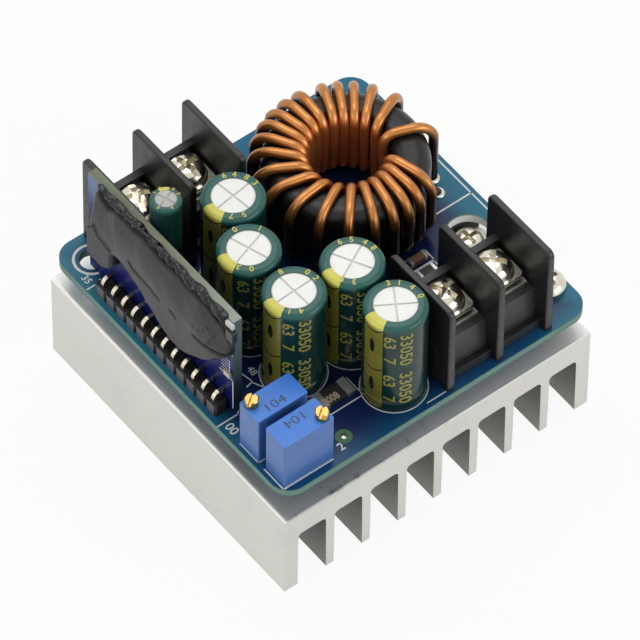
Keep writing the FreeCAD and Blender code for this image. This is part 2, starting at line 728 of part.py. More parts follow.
def terminal_block(x0, y0, name):
    global screw_tally
    profile = [(block_foot_y, 0), (block_foot_y, block_foot_h), (block_face_y, block_foot_h),
               (block_face_top_y, ledge_z), (rim_y, ledge_z), (rim_y, rim_z), (rim_y + rim_t, rim_z), (rim_y + rim_t, 0)]
    pieces = [prism([V(x0, y0 + y, top_z + z) for y, z in profile], V(block_w, 0, 0))]
    for i in range(bay_count + 1):
        x = x0 + i * bay_pitch
        draft = (wall_t - wall_top_t) / 2
        wall_top = top_z + wall_h
        wall = prism([V(x, y0, top_z), V(x + wall_t, y0, top_z), V(x + wall_t - draft, y0, wall_top),
                      V(x + draft, y0, wall_top)], V(0, block_l, 0))
        wall = wall.makeFillet(wall_corner_r, edges_along(wall, ACROSS, lambda c: c.z > wall_top - 0.01))
        sides = [e for e in wall.Edges if e.CenterOfMass.z > top_z + 1 and abs(e.CenterOfMass.x - x - wall_t / 2) > 0.1]
        pieces.append(wall.makeFillet(wall_edge_r, sides))
    body = join(pieces)
    tools = []
    for i in range(bay_count):
        screw_tally += 1
        x = x0 + wall_t + (bay_pitch - wall_t) / 2 + i * bay_pitch
        y = y0 + screw_y
        tools.append(rod(x, y, top_z + well_floor, top_z + ledge_z, term_screw_r + well_gap))
        strip = box(x - strip_w / 2, x + strip_w / 2, y0 + strip_front, y0 + rim_y - strip_gap,
                    top_z + ledge_z, top_z + ledge_z + strip_t)
        strip = strip.cut(rod(x, y, top_z + ledge_z, top_z + ledge_z + strip_t, term_screw_r + term_bore_gap))
        for side in (-1, 1):
            leg_x = x + side * strip_leg_x
            leg_y = y0 + strip_leg_y
            leg = box(leg_x - strip_leg_t / 2, leg_x + strip_leg_t / 2, leg_y - strip_leg_w / 2, leg_y + strip_leg_w / 2,
                      board_z - pin_out, top_z + ledge_z)
            strip = strip.fuse(leg)
            tools.append(box(leg_x - strip_leg_t / 2, leg_x + strip_leg_t / 2, leg_y - strip_leg_w / 2,
                             leg_y + strip_leg_w / 2, top_z, top_z + ledge_z))
            board_holes.append((leg_x, leg_y, math.hypot(strip_leg_t, strip_leg_w) / 2 + lead_gap))
        contacts.append(strip.removeSplitter())
        plate = box(x - clamp_w / 2, x + clamp_w / 2, y - clamp_l / 2, y + clamp_l / 2,
                    top_z + clamp_seat, top_z + clamp_seat + clamp_t)
        plate = plate.makeFillet(clamp_corner_r, edges_along(plate, UP, lambda c: True))
        boss = Part.makeCone(clamp_boss_r, clamp_boss_r - clamp_boss_h, clamp_boss_h, V(x, y, top_z + clamp_seat + clamp_t), UP)
        plate = join([plate, boss]).cut(rod(x, y, top_z + clamp_seat, top_z + clamp_top, term_screw_r + term_bore_gap))
        save("clamp_plate_%d" % screw_tally, [plate])
        screw = pan_screw(x, y, top_z + clamp_top, term_head_r, term_head_h, term_screw_r, term_screw_l,
                          term_recess_arm, term_recess_w, term_recess_depth, term_slot_depth,
                          term_head_angle * screw_tally)
        save("terminal_screw_%d" % screw_tally, [screw])
    save(name, [cut_all(body, tools)])


terminal_block(right_block_x, right_block_y, "terminal_housing_right")
terminal_block(left_block_x, left_block_y, "terminal_housing_left")
save("terminal_contacts", contacts)

# trimmers: a screw with a worm turns a toothed wheel, whose wiper sweeps the element
inner_x = trim_l - trim_wall
inner_y = trim_w - trim_wall
inner_z = trim_h - trim_wall
trim_axis_x = trim_l - trim_screw_in
trim_axis_y = trim_screw_in
wheel_x = trim_axis_x - trim_worm_r - trim_fit - wheel_r
wheel_z = trim_floor + element_margin + wheel_r + 0.4
wheel_y0 = trim_axis_y - wheel_t / 2
wheel_y1 = trim_axis_y + wheel_t / 2
element_y = inner_y - element_t
elements = []
trim_pins = []


def trimmer(number, x0, y0, turn):
    def place(shape):
        if turn:
            shape = shape.rotated(V(trim_l / 2, trim_w / 2, 0), UP, turn)
        return shape.translated(V(x0, y0, top_z))

    body = box(0, trim_l, 0, trim_w, 0, trim_h)
    body = body.makeFillet(trim_edge_r, edges_along(body, UP, lambda c: True))
    body = body.cut(box(trim_wall, inner_x, trim_wall, inner_y, trim_floor, inner_z))
    body = body.cut(rod(trim_axis_x, trim_axis_y, inner_z - 0.1, trim_h, trim_neck_r + trim_fit))
    axle = Part.makeCylinder(wheel_bore_r - trim_fit, wheel_y1 - trim_wall + 0.1, V(wheel_x, trim_wall - 0.1, wheel_z), BACK)
    body = body.fuse(axle)

    head = rod(trim_axis_x, trim_axis_y, trim_h + trim_fit, trim_h + trim_head_up, trim_head_r)
    rim = [e for e in head.Edges if e.Curve.TypeId == "Part::GeomCircle" and e.CenterOfMass.z > trim_h + 1]
    head = head.makeChamfer(0.15, rim)
    neck = rod(trim_axis_x, trim_axis_y, inner_z - trim_fit, trim_h + trim_fit, trim_neck_r)
    worm = rod(trim_axis_x, trim_axis_y, trim_floor + trim_fit, inner_z - trim_fit, trim_worm_r)
    screw = join([worm, neck, head])
    slot = box(trim_axis_x - trim_head_r, trim_axis_x + trim_head_r, trim_axis_y - trim_slot_w / 2,
               trim_axis_y + trim_slot_w / 2, trim_h + trim_head_up - trim_slot_depth, trim_h + trim_head_up)
    screw = screw.cut(slot.rotated(V(trim_axis_x, trim_axis_y, 0), UP, 35))

    rim_points = []
    for tooth in range(wheel_teeth):
        for share, r in ((0.0, wheel_r - wheel_tooth_h), (0.3, wheel_r - wheel_tooth_h), (0.45, wheel_r), (0.85, wheel_r)):
            a = 2 * math.pi * (tooth + share) / wheel_teeth
            rim_points.append(V(wheel_x + r * math.cos(a), wheel_y0, wheel_z + r * math.sin(a)))
    wheel = prism(rim_points, V(0, wheel_t, 0))
    wheel = wheel.cut(Part.makeCylinder(wheel_bore_r, wheel_t, V(wheel_x, wheel_y0, wheel_z), BACK))

    disc = Part.makeCylinder(wiper_r, wiper_t, V(wheel_x, wheel_y1, wheel_z), BACK)
    arm = box(wheel_x - wiper_tip / 2, wheel_x + wiper_tip / 2, wheel_y1, element_y - trim_fit,
              wheel_z + wiper_r - wiper_tip, wheel_z + wiper_r)
    wiper = join([disc, arm]).cut(Part.makeCylinder(wheel_bore_r, wiper_t, V(wheel_x, wheel_y1, wheel_z), BACK))

    element = box(trim_wall + element_margin, inner_x - element_margin, element_y, inner_y,
                  trim_floor, inner_z - element_margin)
    elements.append(place(element))
    for step in (-1, 0, 1):
        pin_at = trim_l / 2 + step * trim_pin_pitch
        pin_y = element_y - trim_pin_r
        low = board_z - pin_out - top_z
        pin = rod(pin_at, pin_y, low, trim_floor + trim_pin_up, trim_pin_r)
        body = body.cut(rod(pin_at, pin_y, 0, trim_floor, trim_pin_r))
        pin = place(pin)
        trim_pins.append(pin)
        board_holes.append((pin.CenterOfMass.x, pin.CenterOfMass.y, trim_pin_r + lead_gap))
    save("trimmer_%d_body" % number, [place(body)])
    save("trimmer_%d_screw" % number, [place(screw)])
    save("trimmer_%d_wheel" % number, [place(wheel)])
    save("trimmer_%d_wiper" % number, [place(wiper)])


trimmer(1, trim_a_x, trim_a_y, 0)
trimmer(2, trim_b_x, trim_b_y, 180)
save("trimmer_elements", elements)
save("trimmer_pins", trim_pins)

# main board, drilled for everything that passes through it
board = box(0, board_w, 0, board_l, board_z, top_z)
board = board.makeFillet(board_corner_r, edges_along(board, UP, lambda c: True))
drills = [rod(x, y, board_z, top_z, r) for x, y, r in board_holes]
save("main_board", [cut_all(board, drills)])
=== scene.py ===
import math

import bmesh
import bpy
from mathutils import Matrix, Vector, kdtree, noise


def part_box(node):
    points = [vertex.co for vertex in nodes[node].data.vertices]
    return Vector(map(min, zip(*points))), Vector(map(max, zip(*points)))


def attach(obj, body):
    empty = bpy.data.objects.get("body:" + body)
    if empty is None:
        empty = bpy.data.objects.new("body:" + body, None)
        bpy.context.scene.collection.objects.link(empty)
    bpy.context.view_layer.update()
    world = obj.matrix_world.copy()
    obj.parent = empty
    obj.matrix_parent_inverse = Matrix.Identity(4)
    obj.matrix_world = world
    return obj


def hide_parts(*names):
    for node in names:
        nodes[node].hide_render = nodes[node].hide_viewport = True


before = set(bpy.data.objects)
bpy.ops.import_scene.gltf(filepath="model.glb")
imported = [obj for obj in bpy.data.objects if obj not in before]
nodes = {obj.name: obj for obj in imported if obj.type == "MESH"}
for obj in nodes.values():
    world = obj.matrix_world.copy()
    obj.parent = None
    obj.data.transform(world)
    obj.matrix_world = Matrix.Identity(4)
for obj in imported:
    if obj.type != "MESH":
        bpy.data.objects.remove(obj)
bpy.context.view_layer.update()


# Heatsink: one length of extruded aluminium with nine fins, sawn square at both ends. Its
# outer faces keep the fine lines of the die, its top is the machined face that the power
# devices lie on, and its top's left and right edges carry a painted highlight.
MM = 0.001


def ink(red, green, blue):
    # a colour as a screen shows it, 0 to 255, as the linear values that a shader takes
    def linear(part):
        part = part / 255
        return part / 12.92 if part <= 0.04045 else ((part + 0.055) / 1.055) ** 2.4

    return (linear(red), linear(green), linear(blue), 1.0)


class Signal:
    # one output of a node, used in sums like a number
    def __init__(self, owner, socket):
        self.owner = owner
        self.socket = socket

    def output(self, name):
        # another output of the same node
        return Signal(self.owner, self.socket.node.outputs[name])

    def math(self, operation, first, second=0.0):
        return self.owner.node("ShaderNodeMath", {"operation": operation}, {0: first, 1: second})

    def __add__(self, other):
        return self.math("ADD", self, other)

    def __sub__(self, other):
        return self.math("SUBTRACT", self, other)

    def __rsub__(self, other):
        return self.math("SUBTRACT", other, self)

    def __mul__(self, other):
        return self.math("MULTIPLY", self, other)

    def __pow__(self, other):
        return self.math("POWER", self, other)

    def __lt__(self, other):
        return self.math("LESS_THAN", self, other)

    def __gt__(self, other):
        return self.math("GREATER_THAN", self, other)

    def __mod__(self, other):
        return self.math("FLOORED_MODULO", self, other)

    def __abs__(self):
        return self.math("ABSOLUTE", self)

    __radd__ = __add__
    __rmul__ = __mul__

    def sine(self):
        return self.math("SINE", self)

    def least(self, other):
        return self.math("MINIMUM", self, other)

    def most(self, other):
        return self.math("MAXIMUM", self, other)

    def fade(self, low, high):
        # 0 below low, 1 above high, smooth between; high may be the lower one
        settings = {"interpolation_type": "SMOOTHSTEP"}
        sockets = {"Value": self, "From Min": low, "From Max": high}
        return self.owner.node("ShaderNodeMapRange", settings, sockets)


class Nodes:
    # a tree of nodes, of a material or of the surroundings
    def __init__(self, tree):
        self.tree = tree

    def feed(self, socket, value):
        if isinstance(value, Signal):
            self.tree.links.new(value.socket, socket)
        else:
            socket.default_value = value

    def node(self, kind, settings=None, sockets=None, output=0):
        made = self.tree.nodes.new(kind)
        for name, value in (settings or {}).items():
            setattr(made, name, value)
        for name, value in (sockets or {}).items():
            self.feed(made.inputs[name], value)
        return Signal(self, made.outputs[output])


class Finish(Nodes):
    # one material: its fixed values go straight to the shader, its patterns are built by node()
    def __init__(self, name, colour, **fixed):
        self.material = bpy.data.materials.new(name)
        self.material.use_nodes = True
        super().__init__(self.material.node_tree)
        self.shader = self.tree.nodes["Principled BSDF"]
        self.set("Base Color", colour)
        for socket, value in fixed.items():
            self.set(socket.replace("_", " "), value)
        self.place = self.node("ShaderNodeTexCoord", output="Object")

    def parts(self, source, scale=1.0):
        # a vector, made longer by scale, as three signals
        sockets = {0: source, "Scale": scale}
        scaled = self.node("ShaderNodeVectorMath", {"operation": "SCALE"}, sockets)
        split = self.node("ShaderNodeSeparateXYZ", {}, {0: scaled})
        return [split.output(axis) for axis in "XYZ"]

    def axes(self):
        # the place of a point in millimetres, as three signals
        return self.parts(self.place, 1 / MM)

    def facing(self):
        # the way that the surface faces, as three signals from -1 to 1
        return self.parts(self.node("ShaderNodeNewGeometry", output="Normal"))

    def noise(self, size, detail=3.0, stretch=(1, 1, 1)):
        # a cloudy pattern from about -0.5 to 0.5, its features of that size in millimetres,
        # drawn out along an axis by stretch
        scale = [1 / (size * MM * drawn) for drawn in stretch]
        spread = self.node("ShaderNodeMapping", {}, {"Vector": self.place, "Scale": scale})
        sockets = {"Vector": spread, "Scale": 1.0, "Detail": detail}
        return self.node("ShaderNodeTexNoise", {}, sockets) - 0.5

    def mix(self, share, first, second):
        sockets = {0: share, 6: first, 7: second}
        return self.node("ShaderNodeMix", {"data_type": "RGBA"}, sockets, output=2)

    def mottle(self, size, detail, first, second):
        # two shades in cloudy patches of that size
        return self.mix(self.noise(size, detail) + 0.5, first, second)

    def set(self, socket, value):
        self.feed(self.shader.inputs[socket], value)

    def bump(self, height, depth):
        # height of 1 stands out by depth millimetres
        sockets = {"Strength": 1.0, "Distance": depth * MM, "Height": height}
        self.set("Normal", self.node("ShaderNodeBump", {}, sockets))


def dress(finish, *names):
    # gives a finish to nodes of the frame
    for name in names:
        slots = nodes[name].data.materials
        if not len(slots):
            slots.append(None)
        for number in range(len(slots)):
            slots[number] = finish.material


SINK_HALF = 30
GAP_ROOF = 12.9
GROOVE_PITCH = 1.05
TOOTH_PITCH = 0.6
aluminium = Finish("extruded aluminium", ink(205, 204, 199), Metallic=0.35)
x, y, z = aluminium.axes()
slope = aluminium.facing()
die_lines = aluminium.noise(0.35, 2, (1, 60, 1))
smudges = aluminium.noise(9, 5)
fine = aluminium.noise(0.5, 4)
stain = (smudges * 2.2 + fine * 0.6).fade(0.0, 0.5)
body_colour = aluminium.mix(stain * 0.3, ink(217, 215, 208), ink(200, 199, 194))
# painted shade: the faces between the fins and under their roof are painted darker, more so upwards
between_fins = (abs(slope[0]).most(slope[2] * -1)).fade(0.3, 0.6)
between_fins = between_fins * (abs(x) < SINK_HALF - 0.7) * (z < GAP_ROOF)
gap_shade = aluminium.mix((z + y * 0.12).fade(-4, 13), ink(146, 144, 137), ink(76, 74, 68))
body_colour = aluminium.mix(between_fins, body_colour, gap_shade)
# painted shade: the top is painted a little darker and bluer inwards from its edge, under the board
from_board = (SINK_HALF - (abs(x)).most(abs(y))) + smudges * 2.5 + fine * 1.2
top_colour = aluminium.mix(from_board.fade(0.3, 3.2), ink(226, 228, 225), ink(212, 217, 217))
near_corner = x + y
scuffs = (aluminium.noise(1.6, 5, (1.0, 2.5, 1.0)) * 3).fade(0.2, 0.7) * near_corner.fade(-16, -48)
# painted shade: the top is painted darker towards the near corner, under the board's edge
top_colour = aluminium.mix(near_corner.fade(-22, -50) * 0.6, top_colour, ink(150, 156, 157))
top_colour = aluminium.mix(scuffs * 0.8, top_colour, ink(84, 90, 92))
# painted highlight: the top's left and right edges are painted near white
edge_highlight = (abs(x) - (SINK_HALF - 0.8)).fade(0, 0.5) * z.fade(17.4, 17.8)
top_colour = aluminium.mix(edge_highlight, top_colour, ink(240, 239, 232))
aluminium.set("Base Color", aluminium.mix(z.fade(17.2, 17.7), body_colour, top_colour))
aluminium.set("Roughness", 0.45 + fine * 0.25 + smudges * 0.2)
outer_face = x.fade(0.5 - SINK_HALF, 0.2 - SINK_HALF) * z.fade(11.8, 10.9)
groove = (z * (2 * math.pi / GROOVE_PITCH)).sine() * outer_face
teeth = (z * (2 * math.pi / TOOTH_PITCH)).sine() * between_fins
aluminium.bump(die_lines * 0.8 + fine * 0.35 + groove * 0.7 + teeth * 0.8, 0.05)
dress(aluminium, "heatsink")


# Power devices: two plastic cases on tinned tabs, lying on grey silicone pads under the board,
# each held down by a screw with a spring washer and a white insulating bush. A brass spacer
# and a third screw hold the board at its right corner.
epoxy = Finish("moulded epoxy", ink(30, 30, 31), Roughness=0.55)
epoxy.set("Base Color", epoxy.mottle(0.8, 4, ink(24, 24, 25), ink(38, 38, 38)))
epoxy.bump(epoxy.noise(0.12, 2), 0.01)
dress(epoxy, "transistor_case", "diode_case")

tin = Finish("tinned copper", ink(198, 198, 194), Metallic=1.0)
tin.set("Base Color", tin.mottle(1.5, 4, ink(180, 179, 173), ink(214, 213, 208)))
tin.set("Roughness", 0.34 + tin.noise(0.6, 3) * 0.4)
tin.bump(tin.noise(0.3, 2), 0.01)
dress(tin, "transistor_leadframe", "diode_leadframe")
dress(tin, "terminal_contacts", "trimmer_pins", "capacitor_leads")

silicone = Finish("silicone pad", ink(150, 152, 150), Roughness=0.8)
silicone.set("Base Color", silicone.mottle(0.5, 3, ink(136, 139, 138), ink(163, 165, 162)))
dress(silicone, "insulating_pads")

nylon = Finish("white nylon", ink(232, 232, 230), Roughness=0.4)
nylon.set("Base Color", nylon.mottle(1.2, 3, ink(224, 225, 224), ink(240, 240, 238)))
dress(nylon, "insulating_bushes")

spring_steel = Finish("spring steel", ink(140, 138, 132), Metallic=1.0)
spring_steel.set("Base Color", spring_steel.mottle(0.9, 3, ink(120, 118, 112), ink(158, 155, 148)))
spring_steel.set("Roughness", 0.35 + spring_steel.noise(0.5, 3) * 0.3)
dress(spring_steel, "spring_washers")

nickel = Finish("nickel plate", ink(214, 209, 194), Metallic=1.0)
nickel.set("Base Color", nickel.mottle(1.4, 4, ink(196, 188, 166), ink(232, 229, 218)))
nickel.set("Roughness", 0.2 + nickel.noise(0.7, 3) * 0.25)
nickel.bump(nickel.noise(0.5, 3), 0.02)
dress(nickel, "board_screws")

spacer_brass = Finish("turned brass", ink(196, 164, 92), Metallic=1.0)
spacer_brass.set("Base Color", spacer_brass.mottle(1.5, 3, ink(184, 150, 80), ink(206, 176, 106)))
spacer_brass.set("Roughness", 0.3 + spacer_brass.noise(0.3, 2, (1, 1, 0.2)) * 0.3)
dress(spacer_brass, "spacer")


# Main board: glass epoxy 1.6 mm thick with a blue solder mask, white printed lines and rings,
# and bare laminate round its large holes. It is drilled for every lead.
BOARD_LOW, BOARD_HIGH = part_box("main_board")
BOARD_TOP = BOARD_HIGH.z
BOARD_MIDDLE = 23.7
BOARD_HALF = 30
LIT_WALL_R = 5.0
PRINT_T = 0.02
BARE_T = 0.015
STROKE = 0.22
BARE_RINGS = ((53.8, 22.7, 3.72, 3.95), (53.8, 52.5, 3.72, 3.95), (14.2, 3.7, 0.55, 1.36))
CORNER_RING = (4.35, 54.5, 2.65, 3.1)
CAN_SPOTS = ((19.6, 38.3), (15.3, 28.8), (15.7, 18.1), (26.2, 17.2), (26.3, 6.7))
CAN_RING = (5.2, 5.4)
PRINTED_LINES = (
    (0.3, [(0.8, 1.35), (10.2, 1.3)]),
    (0.3, [(0.3, 50.2), (1.6, 50.2)]),
    (0.25, [(0.1, 16.9), (3.9, 16.9)]),
    (STROKE, [(3.9, 16.9), (5.6, 18.4), (5.6, 21.8)]),
    (0.25, [(3.0, 45.5), (3.0, 50.6)]),
    (0.3, [(59.15, 24.5), (59.15, 54.2)]),
    (0.3, [(44.6, 28.9), (59.15, 28.9)]),
    (STROKE, [(13.4, 8.15), (21.45, 8.15), (21.45, 12.25), (13.4, 12.25), (13.4, 8.15)]),
    (STROKE, [(0.85, 12.2), (0.85, 7.65), (2.1, 7.65)]),
    (0.25, [(0.8, 6.1), (0.8, 1.35)]),
    (STROKE, [(9.2, 22.6), (9.6, 20.5), (8.3, 20.2)]),
    (STROKE, [(9.4, 20.5), (10.2, 18.8)]),
    (STROKE, [(41.6, 22.1), (46.4, 22.1), (46.4, 24.5), (41.6, 24.5), (41.6, 22.1)]),
    (STROKE, [(41.6, 19.6), (46.2, 19.6), (46.2, 21.9), (41.6, 21.9), (41.6, 19.6)]),
    (STROKE, [(55.2, 12.2), (59.3, 12.2)]),
    (STROKE, [(7.5, 13.3), (10.6, 13.3), (10.6, 15.6)]),
    (STROKE, [(28.3, 0.9), (33.0, 0.9)]),
)
PRINTED_NUMBERS = (("35", 0.75, 52.6, 1.25, -90), ("00", 0.8, 16.3, 1.6, -90),
                   ("48", 10.2, 23.0, 1.25, -90), ("8", 12.9, 14.4, 1.6, 0),
                   ("1", 12.4, 4.4, 1.5, 0), ("2", 12.2, 1.7, 1.5, 0))
SOLDER_DOMES = ((14.2, 3.7, 0.53, 0.12), (56.21, 34.88, 1.25, 0.5), (55.02, 32.07, 1.2, 0.45))


def spot(x, y, up=0.0):
    # a point x and y millimetres from the board's near left corner and up above its top
    return Vector((BOARD_LOW.x + x * MM, BOARD_LOW.y + y * MM, BOARD_TOP + up * MM))


def laminate(name, across, shine):
    # solder mask on both faces and bare glass epoxy on the sawn edges; across is the axis
    # that runs through the thickness
    mask = Finish(name, ink(30, 90, 130), Roughness=0.3, Specular_IOR_Level=shine)
    edge = abs(mask.facing()[across]) < 0.6
    return mask, mask.axes(), edge, mask.noise(6, 4), mask.noise(0.4, 3)


mask, (x, y, z), edge, cloud, grain = laminate("blue solder mask", 2, 0.25)
from_side = BOARD_HALF - (abs(x)).most(abs(y + 0.05))
# painted light and shade: open parts near the edges take a lit teal that shifts as the light falls,
open_part = (from_side + cloud * 3 - (x + y).fade(0, 30) * 3).fade(5.5, 0.3)
# and the parts among the tall parts take a shaded navy
left_part = (x * -1 + y * 0.55).fade(10, 36)
lit_mask = mask.mix((x + y).fade(10, 40), ink(20, 74, 116), ink(12, 112, 150))
lit_mask = mask.mix(left_part, lit_mask, ink(40, 114, 138))
lit_mask = mask.mix(x.fade(15, 27), lit_mask, ink(24, 108, 136))
shaded_mask = mask.mix(cloud + 0.5, ink(10, 22, 66), ink(16, 42, 92))
flat_face = mask.mix(open_part, shaded_mask, lit_mask)
skin = abs(z - BOARD_MIDDLE).fade(0.35, 0.75)
side = mask.mix((cloud + grain).fade(-0.6, 0.6), ink(92, 128, 118), ink(122, 144, 126))
side = mask.mix(skin, side, ink(56, 108, 116))
# the walls of the two large holes over the power screws are painted near white,
# a painted highlight on walls that lie in shade
low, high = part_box("insulating_bushes")
bush_r = (high.x - low.x) / 2
for screw_y in (low.y + bush_r, high.y - bush_r):
    off = ((x - (low.x + bush_r) / MM) ** 2 + (y - screw_y / MM) ** 2) ** 0.5
    side = mask.mix(off < LIT_WALL_R, side, ink(248, 249, 252))
mask.set("Base Color", mask.mix(edge, flat_face, side))
mask.set("Roughness", 0.26 + cloud * 0.12 + edge * 0.35)
mask.bump(mask.noise(2.5, 4) * 0.8 + grain * 0.1, 0.03)
dress(mask, "main_board")


def make_piece(name, bm, finish, body):
    # a new visible piece from its finished shape
    mesh = bpy.data.meshes.new(name)
    bm.to_mesh(mesh)
    bm.free()
    made = bpy.data.objects.new(name, mesh)
    bpy.context.scene.collection.objects.link(made)
    mesh.materials.append(finish.material)
    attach(made, body)
    return made


def whole(bm):
    # all of a shape, as the operators that cut or copy it take it
    return bm.verts[:] + bm.edges[:] + bm.faces[:]


def print_line(bm, points, width):
    # printed strokes from point to point, each a thin bar of ink that overlaps the next
    for (x0, y0), (x1, y1) in zip(points, points[1:]):
        length = math.hypot(x1 - x0, y1 - y0) + width
        turn = Matrix.Rotation(math.atan2(y1 - y0, x1 - x0), 4, "Z")
        size = Matrix.Diagonal((length * MM, width * MM, PRINT_T * MM, 1))
        middle = Matrix.Translation(spot((x0 + x1) / 2, (y0 + y1) / 2, PRINT_T / 2))
        bmesh.ops.create_cube(bm, size=1, matrix=middle @ turn @ size)


def print_ring(bm, x, y, r_in, r_out, thick=PRINT_T):
    # a flat ring, spun from one small rectangle
    centre = spot(x, y)
    middle = Matrix.Translation(centre + Vector(((r_in + r_out) / 2 * MM, 0, thick / 2 * MM)))
    flat = Matrix.Rotation(math.pi / 2, 4, "X")
    size = Matrix.Diagonal(((r_out - r_in) * MM, thick * MM, 1, 1))
    made = bmesh.ops.create_grid(bm, x_segments=1, y_segments=1, size=0.5,
                                 matrix=middle @ flat @ size)
    face = made["verts"][0].link_faces[0]
    bmesh.ops.spin(bm, geom=[face] + list(face.edges) + list(face.verts), cent=centre,
                   axis=(0, 0, 1), angle=2 * math.pi, steps=64, use_merge=True)
    bmesh.ops.delete(bm, geom=[face], context="FACES_KEEP_BOUNDARY")


def curve_mesh(curve):
    # a text or a flat curve as a mesh
    holder = bpy.data.objects.new(curve.name, curve)
    bpy.context.scene.collection.objects.link(holder)
    bpy.context.view_layer.update()
    shaped = holder.evaluated_get(bpy.context.evaluated_depsgraph_get())
    bm = bmesh.new()
    bm.from_mesh(bpy.data.meshes.new_from_object(shaped))
    bpy.data.objects.remove(holder)
    return bm


def number_mesh(text, height, stretch=1.0, bold=0.022):
    # a printed number of that height in millimetres, its lower left corner at the origin
    curve = bpy.data.curves.new("number", "FONT")
    curve.body = text
    curve.size = height * MM / 0.73
    curve.extrude = PRINT_T * MM / 2
    curve.offset = height * MM * bold
    curve.resolution_u = 3
    bm = curve_mesh(curve)
    bmesh.ops.remove_doubles(bm, verts=bm.verts, dist=1e-7)
    bmesh.ops.triangulate(bm, faces=bm.faces)
    low = Vector([min(v.co[i] for v in bm.verts) for i in range(3)])
    bmesh.ops.translate(bm, verts=bm.verts, vec=-low)
    bmesh.ops.scale(bm, verts=bm.verts, vec=(stretch, 1, 1))
    return bm


def add_bm(bm, other):
    # adds another bmesh to this one
    mesh = bpy.data.meshes.new("part")
    other.to_mesh(mesh)
    other.free()
    bm.from_mesh(mesh)
    bpy.data.meshes.remove(mesh)


def print_number(bm, text, corner, height, turn=0, **style):
    # a number that starts at a corner and is turned round it by degrees
    digits = number_mesh(text, height, **style)
    place = Matrix.Translation(corner) @ Matrix.Rotation(math.radians(turn), 4, "Z")
    bmesh.ops.transform(digits, matrix=place, verts=digits.verts)
    add_bm(bm, digits)


white_ink = Finish("white print", ink(222, 226, 226), Roughness=0.55)
white_ink.set("Base Color", white_ink.mottle(0.6, 4, ink(196, 205, 208), ink(238, 240, 238)))
printed = bmesh.new()
print_ring(printed, *CORNER_RING)
for place in CAN_SPOTS:
    print_ring(printed, *place, *CAN_RING)
for width, points in PRINTED_LINES:
    print_line(printed, points, width)
for text, left, foot, height, turn in PRINTED_NUMBERS:
    print_number(printed, text, spot(left, foot), height, turn)
make_piece("board_print", printed, white_ink, "module")

bare = Finish("bare laminate", ink(72, 120, 78), Roughness=0.6)
bare.set("Base Color", bare.mottle(0.7, 3, ink(52, 102, 76), ink(92, 132, 84)))
rims = bmesh.new()
for ring in BARE_RINGS:
    print_ring(rims, *ring, BARE_T)
make_piece("board_bare_rims", rims, bare, "module")

solder_dot = Finish("solder", ink(205, 205, 200), Metallic=1.0)
solder_dot.set("Base Color", solder_dot.mottle(0.8, 3, ink(184, 184, 178), ink(222, 222, 218)))
solder_dot.set("Roughness", 0.25 + solder_dot.noise(0.5, 3) * 0.3)
solder_dot.bump(solder_dot.noise(0.4, 3), 0.03)
dress(solder_dot, "header_solder")
dots = bmesh.new()
for dot_x, dot_y, wide, tall in SOLDER_DOMES:
    size = Matrix.Diagonal((wide * MM, wide * MM, tall * MM, 1))
    bmesh.ops.create_uvsphere(dots, u_segments=24, v_segments=12, radius=1,
                              matrix=Matrix.Translation(spot(dot_x, dot_y)) @ size)
bmesh.ops.bisect_plane(dots, geom=whole(dots), plane_co=(0, 0, BOARD_TOP + 0.001 * MM),
                       plane_no=(0, 0, -1), clear_outer=True)
bmesh.ops.holes_fill(dots, edges=[e for e in dots.edges if e.is_boundary])
for face in dots.faces:
    face.smooth = True
make_piece("board_solder", dots, solder_dot, "module")


# Terminal blocks: two black moulded housings of two bays each. In each bay a tinned strip lies
# on a ledge, and a nickel-plated clamp plate and screw press the wire on it.
BAY_DEPTH = 9
LEDGE_UP = 9.5
housing = Finish("black moulded plastic", ink(27, 27, 28), Roughness=0.42)
y, z = housing.axes()[1:]
plain = housing.mottle(5, 4, ink(22, 22, 23), ink(34, 34, 34))
block_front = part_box("terminal_housing_right")[0].y / MM
# painted light: the fronts of the bays are painted lighter, as lit from the front
bay_front = (housing.facing()[1] < -0.9) * (z < BOARD_TOP / MM + LEDGE_UP)
bay_front = bay_front * (y > block_front + 0.8) * (y < block_front + BAY_DEPTH)
housing.set("Base Color", housing.mix(bay_front, plain, ink(47, 47, 47)))
housing.set("Roughness", 0.4 + housing.noise(1.2, 4) * 0.3)
housing.bump(housing.noise(0.22, 3) * 0.6 + housing.noise(3, 3), 0.03)
dress(housing, "terminal_housing_left", "terminal_housing_right")
for number in range(1, 5):
    dress(nickel, "clamp_plate_%d" % number, "terminal_screw_%d" % number)


# Choke: a ring core with a black epoxy coat, wound with 22 turns of thick enamelled copper wire
# whose ends go down through the board.
coat = Finish("black core coat", ink(24, 24, 26), Roughness=0.35, Specular_IOR_Level=0.35)
coat.set("Base Color", coat.mottle(3, 4, ink(16, 16, 18), ink(28, 28, 30)))
coat.set("Roughness", 0.34 + coat.noise(1.5, 4) * 0.3)
coat.bump(coat.noise(2.2, 3) + coat.noise(0.3, 2) * 0.15, 0.08)
dress(coat, "choke_core")

copper = Finish("enamelled copper", ink(190, 118, 56), Metallic=0.8, Coat_Weight=0.3,
                Coat_Roughness=0.2)
x, y, z = copper.axes()
choke_hub = spot(42.25, 39.15)
away = ((x - choke_hub.x / MM) ** 2 + (y - choke_hub.y / MM) ** 2) ** 0.5
wire_colour = copper.mottle(4, 4, ink(168, 104, 48), ink(198, 136, 72))
# painted light: the runs inside the bore are painted lighter, lifting their shade
inner = away.fade(8.6, 6.8) * z.fade(40.5, 34)
wire_colour = copper.mix(inner, wire_colour, ink(222, 146, 84))
# painted shade: the outer runs low down are painted near black
outer = z.fade(38.2, 33.5) * away.fade(12.2, 13.4)
copper.set("Base Color", copper.mix(outer * 0.95, wire_colour, ink(44, 24, 16)))
copper.set("Roughness", 0.34 + copper.noise(2.5, 2) * 0.15)
copper.bump(copper.noise(2.5, 2), 0.02)
dress(copper, "choke_winding")


